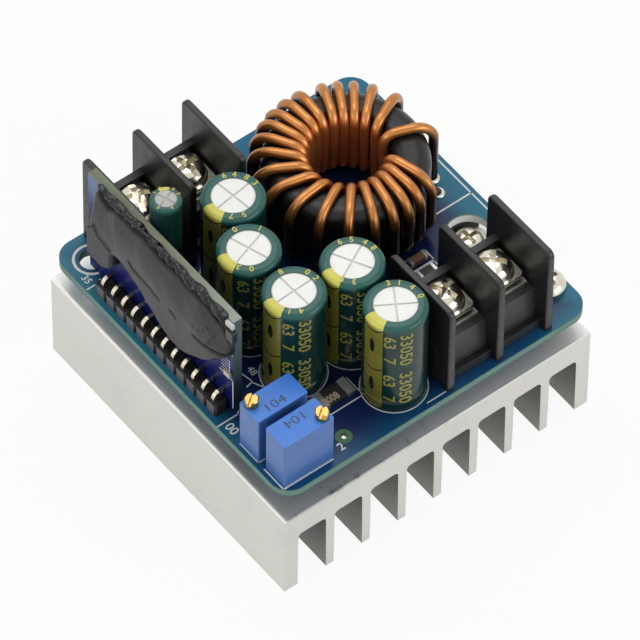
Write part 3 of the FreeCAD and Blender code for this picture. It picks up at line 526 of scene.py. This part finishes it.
# Large capacitors: five drawn aluminium cans with a scored vent, each in a shrunk green sleeve
# with a yellow stripe and numbers printed on it, standing on rubber seals.
STRIPE_DEGREES = (189.5, 181.5, 187.0, 187.0, 188.0)
VENT_DEGREES = (7.5, 18.4, 2.2, 27.6, 57.6)
VENT_R = 3.45
SLEEVE_R = 5.1
NUMBER_STRIPS = 8
STRIPE_HALF = math.radians(21.7)
PRINT_PITCH = 9.5
NUMBER_DEGREES = 231.5
SIDE_NUMBERS = (("63", 1.9, 1.15, -9, 1.9), ("7", 1.9, 1.15, -9, 7.1),
                ("33050", 2.05, 1.1, 20, 1.4))
RING_MARKS = ((("6", 73), ("4", 50), ("8", 22), ("3", -2), ("7", 228), ("5", 256)),
              (("0", 84), ("1", 28), ("3", 210), ("0", 238)),
              (("8", 82), ("0", 22), ("2", -2), ("1", 222), ("4", 248)),
              (("6", 80), ("5", 54), ("4", 24), ("8", 0), ("6", 208), ("3", 236)),
              (("3", 68), ("1", 44), ("4", 14), ("0", -16)))


def turned_axes(finish, centre, degrees):
    # the place of a point ahead of and beside a can's middle, in millimetres, and its height
    x, y, z = finish.axes()
    off_x, off_y = x - centre.x / MM, y - centre.y / MM
    c, s = math.cos(math.radians(degrees)), math.sin(math.radians(degrees))
    return off_x * c + off_y * s, off_y * c - off_x * s, z


def can_finish(name, centre, vent):
    # bright aluminium; the scored cross and the disc's edge are painted darker,
    # painted shade in their grooves
    skin = Finish(name, ink(220, 220, 216), Metallic=0.2)
    along, beside = turned_axes(skin, centre, vent)[:2]
    score = (abs(along).least(abs(beside))).fade(0.2, 0.1)
    rim = ((along * along + beside * beside) ** 0.5).fade(VENT_R - 0.25, VENT_R)
    bright = skin.mottle(1.5, 3, ink(220, 220, 216), ink(234, 234, 230))
    skin.set("Base Color", skin.mix((score * 0.4).most(rim * 0.5), bright, ink(150, 150, 146)))
    skin.set("Roughness", 0.42 + skin.noise(0.8, 3) * 0.2)
    return skin


def sleeve_finish(name, centre, stripe, top, half=STRIPE_HALF, pitch=PRINT_PITCH, radius=SLEEVE_R):
    # green film; the stripe is found from the angle round the can, its seams and bars from the
    # height, and both colours are painted lighter on the rim and darker down the side: painted
    # light
    film = Finish(name, ink(30, 74, 68), Roughness=0.2, Specular_IOR_Level=0.3)
    ahead, beside, z = turned_axes(film, centre, stripe)
    angle = film.node("ShaderNodeMath", {"operation": "ARCTAN2"}, {0: beside, 1: ahead})
    down = top.z / MM - z
    in_stripe = abs(angle) < half
    seam_at = (down + 0.9 * (angle * angle) * (1 / (half * half)) - 1.2) % pitch
    seam = (abs(seam_at - 0.55) < 0.14) * in_stripe
    bar_at = abs((down - 1.0) % pitch - pitch * 0.47)
    bar = (((angle * radius * 2.0) ** 2 + (bar_at * 0.62) ** 2) < 1.0) * (down > 1.5)
    lower = down.fade(0.25, 1.6)
    cloud = film.noise(3, 3) + 0.5
    lit_rim_green = film.mix(cloud, ink(34, 84, 78), ink(52, 104, 96))
    shaded_side_green = film.mix(cloud, ink(8, 36, 32), ink(20, 58, 52))
    lit_rim_yellow = film.mix(cloud, ink(206, 200, 84), ink(222, 216, 102))
    shaded_side_olive = film.mix(cloud, ink(104, 100, 34), ink(132, 128, 50))
    green = film.mix(lower, lit_rim_green, shaded_side_green)
    colour = film.mix(in_stripe, green, film.mix(lower, lit_rim_yellow, shaded_side_olive))
    colour = film.mix(seam.most(bar * in_stripe), colour, ink(22, 30, 20))
    film.set("Base Color", colour)
    film.set("Roughness", 0.2 + film.noise(1.5, 3) * 0.12)
    film.bump(film.noise(3.5, 3) + seam * -0.3, 0.05)
    return film


def wrap_number(text, height, stretch, centre, start, top):
    # a number laid round a can: read downwards, its feet towards the smaller angle
    bm = number_mesh(text, height, stretch)
    tall = max(v.co.y for v in bm.verts)
    for step in range(1, NUMBER_STRIPS):
        bmesh.ops.bisect_plane(bm, geom=whole(bm), plane_co=(0, tall * step / NUMBER_STRIPS, 0),
                               plane_no=(0, 1, 0))
    for v in bm.verts:
        a = math.radians(start) + (v.co.y - tall / 2) / (SLEEVE_R * MM)
        r = SLEEVE_R * MM + PRINT_T * MM + v.co.z
        v.co = Vector((centre.x + r * math.cos(a), centre.y + r * math.sin(a), top - v.co.x))
    return bm


def rim_number(text, height, centre, radius, angle, up):
    # a number lying on the rim, its foot towards the middle of the can
    bm = number_mesh(text, height)
    wide = max(v.co.x for v in bm.verts)
    a = math.radians(angle)
    out = Vector((math.cos(a), math.sin(a), 0))
    along = Vector((math.sin(a), -math.cos(a), 0))
    for v in bm.verts:
        middle = Vector((centre.x, centre.y, up + v.co.z))
        v.co = middle + out * (radius * MM + v.co.y) + along * (v.co.x - wide / 2)
    return bm


rubber = Finish("black rubber", ink(24, 24, 24), Roughness=0.75)
rubber.set("Base Color", rubber.mottle(0.8, 3, ink(20, 20, 20), ink(32, 32, 31)))
dress(rubber, "capacitor_seals")
yellow = Finish("yellow print", ink(205, 196, 78), Roughness=0.4)
# painted light: the print is painted bright on the rim and darker down the side
on_rim = (yellow.axes()[2] - BOARD_TOP / MM).fade(19.2, 19.8)
cloud = yellow.noise(0.8, 3) + 0.5
bright = yellow.mix(cloud, ink(196, 188, 74), ink(216, 208, 92))
shaded_print = yellow.mix(cloud, ink(128, 124, 50), ink(150, 146, 64))
yellow.set("Base Color", yellow.mix(on_rim, shaded_print, bright))

cans = zip(CAN_SPOTS, STRIPE_DEGREES, VENT_DEGREES, RING_MARKS)
for number, (place, stripe, vent, ring_marks) in enumerate(cans, 1):
    sleeve = "capacitor_%d_sleeve" % number
    centre = spot(*place)
    dress(can_finish("bright can %d" % number, centre, vent), "capacitor_%d_can" % number)
    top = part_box(sleeve)[1]
    dress(sleeve_finish("green sleeve %d" % number, centre, stripe, top), sleeve)
    marks = bmesh.new()
    for row in range(2):
        for text, height, stretch, round_by, down in SIDE_NUMBERS:
            begin = top.z - (down + row * PRINT_PITCH) * MM
            start = NUMBER_DEGREES + round_by
            add_bm(marks, wrap_number(text, height, stretch, centre, start, begin))
    for text, angle in ring_marks:
        add_bm(marks, rim_number(text, 1.05, centre, 3.58, angle, top.z))
    make_piece("capacitor_%d_print" % number, marks, yellow, "module")


# Small capacitor: the same build at half the size, a can in a shrunk green sleeve. It stands on
# its two leads behind the control board.
SMALL_MARKS = (("7", 78), ("1", 110), ("0", 20), ("3", -12), ("6", 260), ("0", 200))
small_low, small_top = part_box("small_capacitor_sleeve")
small_centre = (small_top + small_low) / 2
small_r = (small_top.x - small_low.x) / 2 / MM
small_film = sleeve_finish("green sleeve small", small_centre, 62, small_top, math.radians(24),
                           6.0, small_r)
dress(small_film, "small_capacitor_sleeve")
small_can = Finish("bright small can", ink(186, 184, 180), Roughness=0.5)
small_can.set("Base Color", small_can.mottle(0.5, 3, ink(176, 173, 168), ink(198, 196, 192)))
dress(small_can, "small_capacitor_can")
marks = bmesh.new()
for text, angle in SMALL_MARKS:
    add_bm(marks, rim_number(text, 0.6, small_centre, small_r - 0.68, angle, small_top.z))
make_piece("small_capacitor_print", marks, yellow, "module")


# Header: twelve joined black blocks on the board, each with a square gold-flashed pin that
# bends back and is soldered into the control board.
header_plastic = Finish("header plastic", ink(48, 47, 48), Roughness=0.5)
# painted reflection: the faces towards -x are painted grey, mirroring the pale surroundings;
cloud = header_plastic.noise(1.5, 3) + 0.5
# the rest is the plastic's own black
front = header_plastic.mix(cloud, ink(76, 72, 74), ink(92, 88, 90))
back = header_plastic.mix(cloud, ink(20, 20, 21), ink(32, 31, 32))
at_front = header_plastic.facing()[0] < -0.95
header_plastic.set("Base Color", header_plastic.mix(at_front, back, front))
header_plastic.bump(header_plastic.noise(0.3, 3), 0.02)
dress(header_plastic, "header_body")
gold = Finish("flashed pin", ink(226, 216, 176), Metallic=1.0)
gold.set("Base Color", gold.mottle(0.8, 3, ink(204, 194, 164), ink(228, 223, 206)))
gold.set("Roughness", 0.28 + gold.noise(0.5, 3) * 0.3)
dress(gold, "header_pins")


# Control board: an upright board of the same laminate, held by the header's pins, with two
# chips under the resin on its front and a few printed lines beside it.
CONTROL_LOW, CONTROL_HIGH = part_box("control_board")
CONTROL_FACE = CONTROL_LOW.x / MM
TOP_EDGE = 47.15
FACE_LINES = [
    (0.2, [(17.75, 14.0), (17.75, 22.2)]),
    (0.2, [(17.6, 1.2), (17.6, 8.0), (20.8, 8.0)]),
    (0.2, [(53.3, 2.4), (53.3, 5.8)]),
]
for step in range(5):
    FACE_LINES.append((0.12, [(18.6, 8.9 + step * 0.75), (20.4, 8.9 + step * 0.75)]))
FACE_LINES.append((0.14, [(18.4, 8.6), (18.4, 12.2)]))

upright, (x, y, z), edge, cloud, grain = laminate("control board mask", 0, 0.1)
# painted light and shade: the face is painted navy low down and pale lavender near the top,
flat_face = upright.mix(z.fade(38, 46), ink(18, 28, 88), ink(104, 122, 158))
# the top edge lighter than the front edge, and the front edge darker downwards.
streak = upright.noise(1.0, 4, (1.0, 8.0, 1.0))
# The top edge is also lighter towards its front end.
top_edge = upright.mix((streak + grain).fade(-0.5, 0.5), ink(106, 112, 96), ink(136, 142, 122))
top_edge = upright.mix(y.fade(6, -13), top_edge, ink(160, 168, 154))
front_edge = upright.mix(z.fade(26, 46), ink(30, 54, 60), ink(84, 100, 100))
side = upright.mix(z > TOP_EDGE, front_edge, top_edge)
upright.set("Base Color", upright.mix(edge, flat_face, side))
upright.set("Roughness", 0.3 + edge * 0.35 + cloud * 0.1)
upright.bump(upright.noise(2.5, 4) * 0.6 + grain * 0.2, 0.03)
dress(upright, "control_board")


def face_spot(y, up, out):
    # a point as spot() gives it, but out millimetres in front of the control board
    point = spot(0, y, up)
    point.x = (CONTROL_FACE - out) * MM
    return point


def face_line(bm, points, width):
    # printed strokes on the front of the control board, through points of y and height
    for (y0, z0), (y1, z1) in zip(points, points[1:]):
        length = math.hypot(y1 - y0, z1 - z0) + width
        turn = Matrix.Rotation(math.atan2(z1 - z0, y1 - y0), 4, "X")
        middle = face_spot((y0 + y1) / 2, (z0 + z1) / 2, PRINT_T / 2)
        size = Matrix.Diagonal((PRINT_T * MM, length * MM, width * MM, 1))
        bmesh.ops.create_cube(bm, size=1, matrix=Matrix.Translation(middle) @ turn @ size)


face_print = bmesh.new()
for width, points in FACE_LINES:
    face_line(face_print, points, width)
make_piece("control_print", face_print, white_ink, "module")
chip_plastic = Finish("chip plastic", ink(30, 30, 32), Roughness=0.5)
chip_plastic.set("Base Color", chip_plastic.mottle(0.5, 3, ink(25, 25, 27), ink(38, 38, 40)))
dress(chip_plastic, "controller_chip", "amplifier_chip")


# Potting: black resin poured over the chips on the front of the control board. It set as a smooth
# sheet that thins towards the top, with a wet lumpy crust there that laps over the board's edge,
# three slits, a few bubbles and a flat flap at the rear.
RESIN_RIM = [
    (17.4, 14.9), (19.5, 12.6), (21.4, 10.2), (24.8, 7.7), (27.2, 6.2), (29.6, 5.8), (31.8, 6.2),
    (33.9, 7.1), (35.9, 8.4), (37.5, 9.2), (38.7, 10.3), (40.4, 11.1), (41.8, 11.9), (43.4, 12.4),
    (44.8, 12.2), (45.8, 11.3), (45.9, 8.5), (47.8, 7.1), (51.9, 7.2), (51.6, 13.4), (51.3, 18.5),
    (51.0, 21.6), (50.2, 22.5), (47.3, 22.7), (38.7, 22.7), (29.4, 22.7), (23.5, 22.7),
    (20.1, 22.4), (18.4, 21.0), (17.3, 18.6), (17.0, 16.6)]
RIM_CORNERS = ((45.8, 11.3), (45.9, 8.5), (47.8, 7.1), (51.9, 7.2))
SLITS = ([(41.0, 15.1), (40.1, 14.2), (38.5, 14.1), (36.0, 13.8), (33.8, 13.3)],
         [(30.7, 13.5), (29.6, 13.1)],
         [(25.0, 13.4), (22.5, 13.5), (20.4, 14.1), (18.5, 14.9), (17.2, 15.8)])
SLITS_END = 17
CRUST_FOOT = [
    (50.4, 23.0), (49.0, 21.0), (48.0, 20.6), (46.4, 21.5), (43.7, 21.7), (41.3, 21.6),
    (39.1, 22.2), (36.6, 21.6), (33.9, 21.2), (31.0, 21.6), (28.1, 21.0), (25.0, 21.4),
    (22.6, 21.2), (20.6, 20.3), (19.0, 20.5), (17.4, 18.4)]
FLAP_TOP = [(53.0, 12.5), (51.6, 13.5), (50.0, 15.3), (49.0, 13.8), (45.9, 12.9)]
FLAP_SIDE = 45.85
BUBBLES = ((24.3, 20.3, 0.2), (25.0, 15.7, 0.25), (23.7, 15.8, 0.2), (22.0, 17.8, 0.3),
           (21.3, 17.2, 0.2), (22.8, 16.6, 0.2), (44.6, 19.8, 0.2), (43.6, 19.3, 0.2),
           (48.3, 12.8, 0.3), (48.0, 11.5, 0.2))
LAP_RIM = [
    (51.0, -0.3), (46.0, -0.55), (40.0, -0.45), (34.0, -0.5), (28.0, -0.45), (22.0, -0.5),
    (18.6, -0.3), (18.8, 0.2), (21.0, 0.5), (23.0, 0.25), (25.5, 0.75), (28.0, 0.3), (30.0, 0.6),
    (33.0, 0.25), (36.0, 0.55), (38.5, 0.3), (41.0, 0.75), (43.0, 0.4), (46.0, 0.65),
    (49.0, 0.35), (51.0, 0.25)]

resin = Finish("potting resin", ink(62, 62, 62), Roughness=0.36, Specular_IOR_Level=0.35)
y = resin.axes()[1]
zones = resin.node("ShaderNodeAttribute", {"attribute_name": "zones"}, output="Color")
# the first channel is painted shade: slits, the crust's foot, bubbles and the flap's top edge
painted_shade, flap, crust = resin.parts(zones)
resin_colour = resin.mix(resin.noise(5, 3) * 1.8 + 0.5, ink(20, 20, 20), ink(48, 48, 48))
# painted light: the sheet is painted lighter towards the rear end
resin_colour = resin.mix(y.fade(-8, 20) * 0.6, resin_colour, ink(60, 60, 59))
resin_colour = resin.mix(flap, resin_colour, ink(58, 60, 58))
resin_colour = resin.mix(crust, resin_colour, ink(8, 8, 9))
resin.set("Base Color", resin.mix(painted_shade, resin_colour, ink(3, 3, 3)))
wetness = crust * 0.28
resin.set("Roughness", 0.4 - wetness + flap * 0.15 + painted_shade * 0.5 + resin.noise(2, 3) * 0.12)
resin.bump(resin.noise(3.5, 2) * 2.2 + resin.noise(2.6, 1) * crust * 3.5, 0.1)


def off_line(p, points):
    # the distance of p from a run of straight pieces, and how far p lies above the nearest one
    px, py = p
    nearest = 1e9
    above = 0.0
    for (ax, ay), (bx, by) in zip(points, points[1:]):
        wx, wy = bx - ax, by - ay
        t = max(0.0, min(1.0, ((px - ax) * wx + (py - ay) * wy) / (wx * wx + wy * wy)))
        gap = math.hypot(px - ax - wx * t, py - ay - wy * t)
        if gap < nearest:
            nearest = gap
            above = py - ay - wy * t
    return nearest, above


def slit_gap(p):
    # how far p is from the nearest slit; none reaches high up
    return min(off_line(p, line)[0] for line in SLITS) if p.y < SLITS_END else 9.0


def on_flap(p):
    # whether p is on the flat flap at the rear
    return p.x > FLAP_SIDE and off_line(p, FLAP_TOP)[1] < 0


def near(gap, width, power=2):
    # 1 where there is no gap, falling to 0 over about that width
    return math.exp(-(gap / width) ** power)


def pour(name, points, corners, spacing, cuts, height):
    # a smooth closed outline filled flat, cut into a fine net, its copy raised by height(p, depth),
    # where depth is how far p lies inside the rim; the two are joined along the rim
    curve = bpy.data.curves.new(name, "CURVE")
    curve.dimensions = "2D"
    curve.fill_mode = "BOTH"
    spline = curve.splines.new("BEZIER")
    spline.bezier_points.add(len(points) - 1)
    for knot, point in zip(spline.bezier_points, points):
        knot.co = (*point, 0)
        knot.handle_left_type = knot.handle_right_type = "VECTOR" if point in corners else "AUTO"
    spline.use_cyclic_u = True
    spline.resolution_u = 10
    bm = curve_mesh(curve)
    bmesh.ops.remove_doubles(bm, verts=bm.verts, dist=1e-4)
    bmesh.ops.dissolve_faces(bm, faces=bm.faces[:])
    edge = [v.co.copy() for v in bm.verts if any(e.is_boundary for e in v.link_edges)]
    rim = kdtree.KDTree(len(edge))
    for number, point in enumerate(edge):
        rim.insert(point, number)
    rim.balance()
    for axis in (0, 1):
        low = min(v.co[axis] for v in bm.verts)
        high = max(v.co[axis] for v in bm.verts)
        for step in range(1, int((high - low) / spacing) + 1):
            at = Vector((0, 0, 0))
            way = Vector((0, 0, 0))
            at[axis] = low + step * spacing
            way[axis] = 1
            bmesh.ops.bisect_plane(bm, geom=whole(bm), plane_co=at, plane_no=way)
    bmesh.ops.triangulate(bm, faces=bm.faces)
    bmesh.ops.subdivide_edges(bm, edges=bm.edges[:], cuts=cuts, use_grid_fill=True)
    fronts = bm.verts[:]
    bmesh.ops.duplicate(bm, geom=whole(bm))
    for v in fronts:
        if not any(e.is_boundary for e in v.link_edges):
            v.co.z = height(v.co.xy, rim.find(v.co)[2])
    bmesh.ops.remove_doubles(bm, verts=bm.verts, dist=0.002)
    return bm


def resin_height(p, depth):
    # it swells below the crust's foot, is lumpy above it, and sinks in at the foot and the slits;
    # the flap is thicker, with a sharper edge
    swell = noise.noise(Vector((p.x * 0.15, p.y * 0.15, 1.3)))
    lump = noise.noise(Vector((p.x * 0.9, p.y * 1.1, 5.1)))
    over = off_line(p, CRUST_FOOT)[1]
    under = max(0.0, min(1.0, -over / 7))
    height = 0.75 + 1.25 * (1 - (1 - under) ** 2) + 0.12 * swell
    if over > 0:
        height = 0.6 + 0.5 * lump
    height -= 0.9 * near(slit_gap(p), 0.18) + 0.35 * near(over, 0.25)
    rounding = 0.7
    if on_flap(p):
        height = 2.2
        rounding = 0.12
    inside = min(1.0, depth / rounding)
    return max(0.1, height) * math.sqrt(max(0.0, 1 - (1 - inside) ** 2))


def lap_height(p, depth):
    # a thin lumpy film on the board's upper edge
    lump = noise.noise(Vector((p.x * 1.4, p.y * 1.4, 8.3)))
    return (0.22 + 0.22 * lump) * min(1.0, depth / 0.2)


def zone_of(p):
    # painted shade at slits, crust foot, bubbles and flap edge; flap; crust: each 0 to 1
    if on_flap(p):
        return Vector((0.7 * near(off_line(p, FLAP_TOP)[0], 0.15), 1.0, 0.0, 1.0))
    over = off_line(p, CRUST_FOOT)[1]
    dark = max(near(over, 0.35), near(slit_gap(p), 0.2, 4))
    for bubble_y, bubble_z, size in BUBBLES:
        dark = max(dark, 0.8 * near((p - Vector((bubble_y, bubble_z))).length, size))
    return Vector((dark, 0.0, float(over > 0), 1.0))


poured = pour("resin", RESIN_RIM, RIM_CORNERS, 0.7, 2, resin_height)
tint = poured.verts.layers.float_color.new("zones")
for v in poured.verts:
    y, z, out = v.co
    v[tint] = zone_of(Vector((y, z))) if out > 0 else Vector((0.0, 0.0, 0.0, 1.0))
    v.co = face_spot(y, z, out)
lapped = pour("lap", LAP_RIM, (), 0.5, 1, lap_height)
tint = lapped.verts.layers.float_color.new("zones")
for v in lapped.verts:
    y, behind, up = v.co
    v[tint] = Vector((0.0, 0.0, 1.0, 1.0))
    v.co = face_spot(y, 0, -behind)
    v.co.z = CONTROL_HIGH.z + (up + 0.01) * MM
add_bm(poured, lapped)
bmesh.ops.recalc_face_normals(poured, faces=poured.faces)
for face in poured.faces:
    face.smooth = True
resin_piece = make_piece("potting_resin", poured, resin, "module")
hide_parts("potting")


# Face chips: beside the resin's end stand a small black chip and, above it, a pale block that is
# a painted highlight; a cream chip sits lower down. The two chips are moulded and soldered on.
HIGHLIGHT_FROM = 21.4
CREAM_TO = 12
FACE_CHIPS = ((16.4, 18.1, 19.0, 21.3, 1.0), (17.0, 18.7, 21.5, 22.5, 0.6),
              (17.9, 19.3, 8.5, 9.6, 0.55))
face_chip = Finish("small face chips", ink(30, 30, 32), Roughness=0.4)
z = face_chip.axes()[2]
dark = face_chip.mottle(0.5, 3, ink(24, 24, 26), ink(36, 36, 38))
# painted highlight: the block above the black chip is painted pale
dark = face_chip.mix(z > BOARD_TOP / MM + HIGHLIGHT_FROM, dark, ink(196, 196, 192))
pale = face_chip.mottle(0.5, 3, ink(176, 168, 148), ink(204, 198, 180))
face_chip.set("Base Color", face_chip.mix(z > BOARD_TOP / MM + CREAM_TO, pale, dark))
chips = bmesh.new()
for y0, y1, z0, z1, thick in FACE_CHIPS:
    middle = Matrix.Translation(face_spot((y0 + y1) / 2, (z0 + z1) / 2, thick / 2))
    size = Matrix.Diagonal((thick * MM, (y1 - y0) * MM, (z1 - z0) * MM, 1))
    bmesh.ops.create_cube(chips, size=1, matrix=middle @ size)
bmesh.ops.bevel(chips, geom=chips.edges[:], offset=0.08 * MM, segments=2, profile=0.5,
                affect="EDGES", material=-1)
make_piece("control_face_chips", chips, face_chip, "module")


# Trimmers: two blue multi-turn trimmers with a brass screw on top. Inside, the screw's worm
# turns a toothed wheel that carries a wiper over a ceramic element.
blue = Finish("blue moulded case", ink(62, 122, 222), Roughness=0.36)
cloud = blue.noise(3, 4) + 0.5
# painted light: the top is painted a brighter blue and the sides a darker, greyer blue
shaded_walls = blue.mix(cloud, ink(56, 96, 160), ink(74, 116, 182))
lit_lid = blue.mix(cloud, ink(42, 112, 208), ink(62, 134, 226))
blue.set("Base Color", blue.mix(blue.facing()[2] > 0.7, shaded_walls, lit_lid))
blue.set("Roughness", 0.36 + blue.noise(1.0, 3) * 0.2)
blue.bump(blue.noise(0.5, 3), 0.02)
dress(blue, "trimmer_1_body", "trimmer_2_body")
brass = Finish("brass screw", ink(210, 160, 80), Metallic=1.0)
brass.set("Base Color", brass.mottle(0.7, 3, ink(184, 138, 68), ink(212, 172, 102)))
brass.set("Roughness", 0.26 + brass.noise(0.4, 3) * 0.25)
brass.bump(brass.noise(0.6, 2), 0.02)
dress(brass, "trimmer_1_screw", "trimmer_2_screw", "trimmer_1_wiper", "trimmer_2_wiper")
wheel_white = Finish("white wheel", ink(214, 212, 204), Roughness=0.45)
wheel_white.set("Base Color", wheel_white.mottle(0.8, 3, ink(202, 200, 192), ink(224, 222, 216)))
dress(wheel_white, "trimmer_1_wheel", "trimmer_2_wheel")
ceramic = Finish("ceramic element", ink(206, 202, 192), Roughness=0.6)
ceramic.set("Base Color", ceramic.mottle(1.1, 3, ink(190, 186, 176), ink(218, 215, 206)))
dress(ceramic, "trimmer_elements")
dark_ink = Finish("dark print", ink(52, 66, 104), Roughness=0.5)
dark_ink.set("Base Color", dark_ink.mottle(0.5, 3, ink(42, 56, 94), ink(66, 82, 124)))


def on_top_of(piece, x, y):
    # a point on the top of a piece, x and y millimetres from the board's near left corner
    corner = spot(x, y)
    corner.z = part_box(piece)[1].z
    return corner


stamped = bmesh.new()
for left, foot, turn in ((7.2, 5.6, 180), (3.6, 8.4, 0)):
    corner = on_top_of("trimmer_1_body", left, foot)
    print_number(stamped, "104", corner, 1.6, turn, stretch=1.25, bold=0.0)
make_piece("trimmer_print", stamped, dark_ink, "module")


# Chip parts: a black shunt, a brown ceramic capacitor and a black resistor. Each is a pressed or
# fired block with tinned ends, soldered flat on the board.
CHIP_PARTS = (("shunt_resistor", "black shunt", ink(26, 26, 26), ink(40, 40, 40)),
              ("ceramic_capacitor", "brown ceramic", ink(116, 84, 58), ink(142, 106, 76)),
              ("chip_resistor", "black resistor", ink(26, 26, 26), ink(38, 38, 40)))
for part, name, low_shade, high_shade in CHIP_PARTS:
    low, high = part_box(part)
    half = (high.x - low.x) / 2 / MM
    tinned = 1.5 if half > 2.5 else 0.5
    block = Finish(name, low_shade)
    metal = abs(block.axes()[0] - (low.x + high.x) / 2 / MM) > half - tinned
    shell = block.mottle(0.5, 3, low_shade, high_shade)
    block.set("Base Color", block.mix(metal, shell, ink(206, 206, 202)))
    block.set("Metallic", metal * 0.9)
    block.set("Roughness", 0.45 - metal * 0.15 + block.noise(0.4, 3) * 0.2)
    block.bump(block.noise(0.3, 3), 0.02)
    dress(block, part)
cream_ink = Finish("cream print", ink(206, 192, 166), Roughness=0.5)
cream_ink.set("Base Color", cream_ink.mottle(0.4, 3, ink(186, 170, 142), ink(216, 204, 180)))
shunt_marks = bmesh.new()
print_number(shunt_marks, "0008", on_top_of("shunt_resistor", 15.35, 9.5), 1.4, stretch=0.75)
make_piece("shunt_print", shunt_marks, cream_ink, "module")


# The studio: a pale floor, a large soft lamp overhead, a second soft lamp in front, a third at
# the left, and white surroundings that metal and gloss reflect. The camera is far off and has
# a long lens.
def straight_rays(tree_nodes):
    # 1 for a ray from the camera, a gloss or a glass, 0 for the rays that carry the light
    rays = tree_nodes.node("ShaderNodeLightPath", output="Is Camera Ray")
    return rays.most(rays.output("Is Glossy Ray")).most(rays.output("Is Transmission Ray"))


floor_mesh = bpy.data.meshes.new("floor")
bm = bmesh.new()
bmesh.ops.create_grid(bm, x_segments=1, y_segments=1, size=2.5)
bm.to_mesh(floor_mesh)
bm.free()
floor = bpy.data.objects.new("floor", floor_mesh)
bpy.context.scene.collection.objects.link(floor)
paper = Finish("pale paper", ink(236, 236, 236), Roughness=0.9)
paper.set("Base Color", paper.mottle(40, 3, ink(233, 233, 233), ink(239, 239, 239)))
glow = paper.node("ShaderNodeEmission", {}, {"Color": (1, 1, 1, 1), "Strength": 1.0})
lit = Signal(paper, paper.shader.outputs[0])
blend = paper.node("ShaderNodeMixShader", {}, {0: straight_rays(paper) * 0.93, 1: lit, 2: glow})
paper.feed(paper.tree.nodes["Material Output"].inputs["Surface"], blend)
floor_mesh.materials.append(paper.material)

world = bpy.data.worlds.new("studio")
bpy.context.scene.world = world
world.use_nodes = True
air = Nodes(world.node_tree)
sky = world.node_tree.nodes["Background"]
shares = {"Value": straight_rays(air), "To Min": 0.5, "To Max": 1.0}
air.feed(sky.inputs["Color"], (1, 1, 1, 1))
air.feed(sky.inputs["Strength"], air.node("ShaderNodeMapRange", {}, shares))


def soft_lamp(name, place, size, power):
    # a lamp of that width and height, turned towards the middle of the part
    lamp = bpy.data.lights.new(name, "AREA")
    lamp.shape = "RECTANGLE"
    lamp.size, lamp.size_y = size
    lamp.energy = power
    holder = bpy.data.objects.new(name, lamp)
    bpy.context.scene.collection.objects.link(holder)
    holder.location = place
    aim = Vector((0, 0, 0.02)) - Vector(place)
    holder.rotation_euler = aim.to_track_quat("-Z", "Y").to_euler()


soft_lamp("overhead", (0.12, 0.3, 0.85), (0.7, 0.5), 2.6)
soft_lamp("front", (0.35, -0.75, 0.35), (0.6, 0.4), 2.2)
soft_lamp("left", (-0.8, 0.1, 0.3), (0.5, 0.4), 1.6)

CAMERA_AT = (-0.4663, -0.5883, 0.9918)
IMAGE_WIDTH = 640
FOCAL_PIXELS = 7910.76
SENSOR = 36
yaw = math.radians(-38.401)
pitch = math.radians(52.48)
roll = math.radians(0.603)
flat = math.cos(pitch)
ahead = Vector((-math.sin(yaw) * flat, math.cos(yaw) * flat, -math.sin(pitch)))
level = ahead.cross(Vector((0, 0, 1))).normalized()
upward = level.cross(ahead)
right = level * math.cos(roll) + upward * math.sin(roll)
above = upward * math.cos(roll) - level * math.sin(roll)
lens = bpy.data.cameras.new("camera")
lens.sensor_width = SENSOR
lens.lens = FOCAL_PIXELS / IMAGE_WIDTH * SENSOR
lens.clip_start = 0.05
lens.clip_end = 20
camera = bpy.data.objects.new("camera", lens)
bpy.context.scene.collection.objects.link(camera)
turn = Matrix((right, above, -ahead)).transposed().to_4x4()
camera.matrix_world = Matrix.Translation(CAMERA_AT) @ turn
bpy.context.scene.camera = camera
bpy.context.scene.view_settings.view_transform = "Standard"
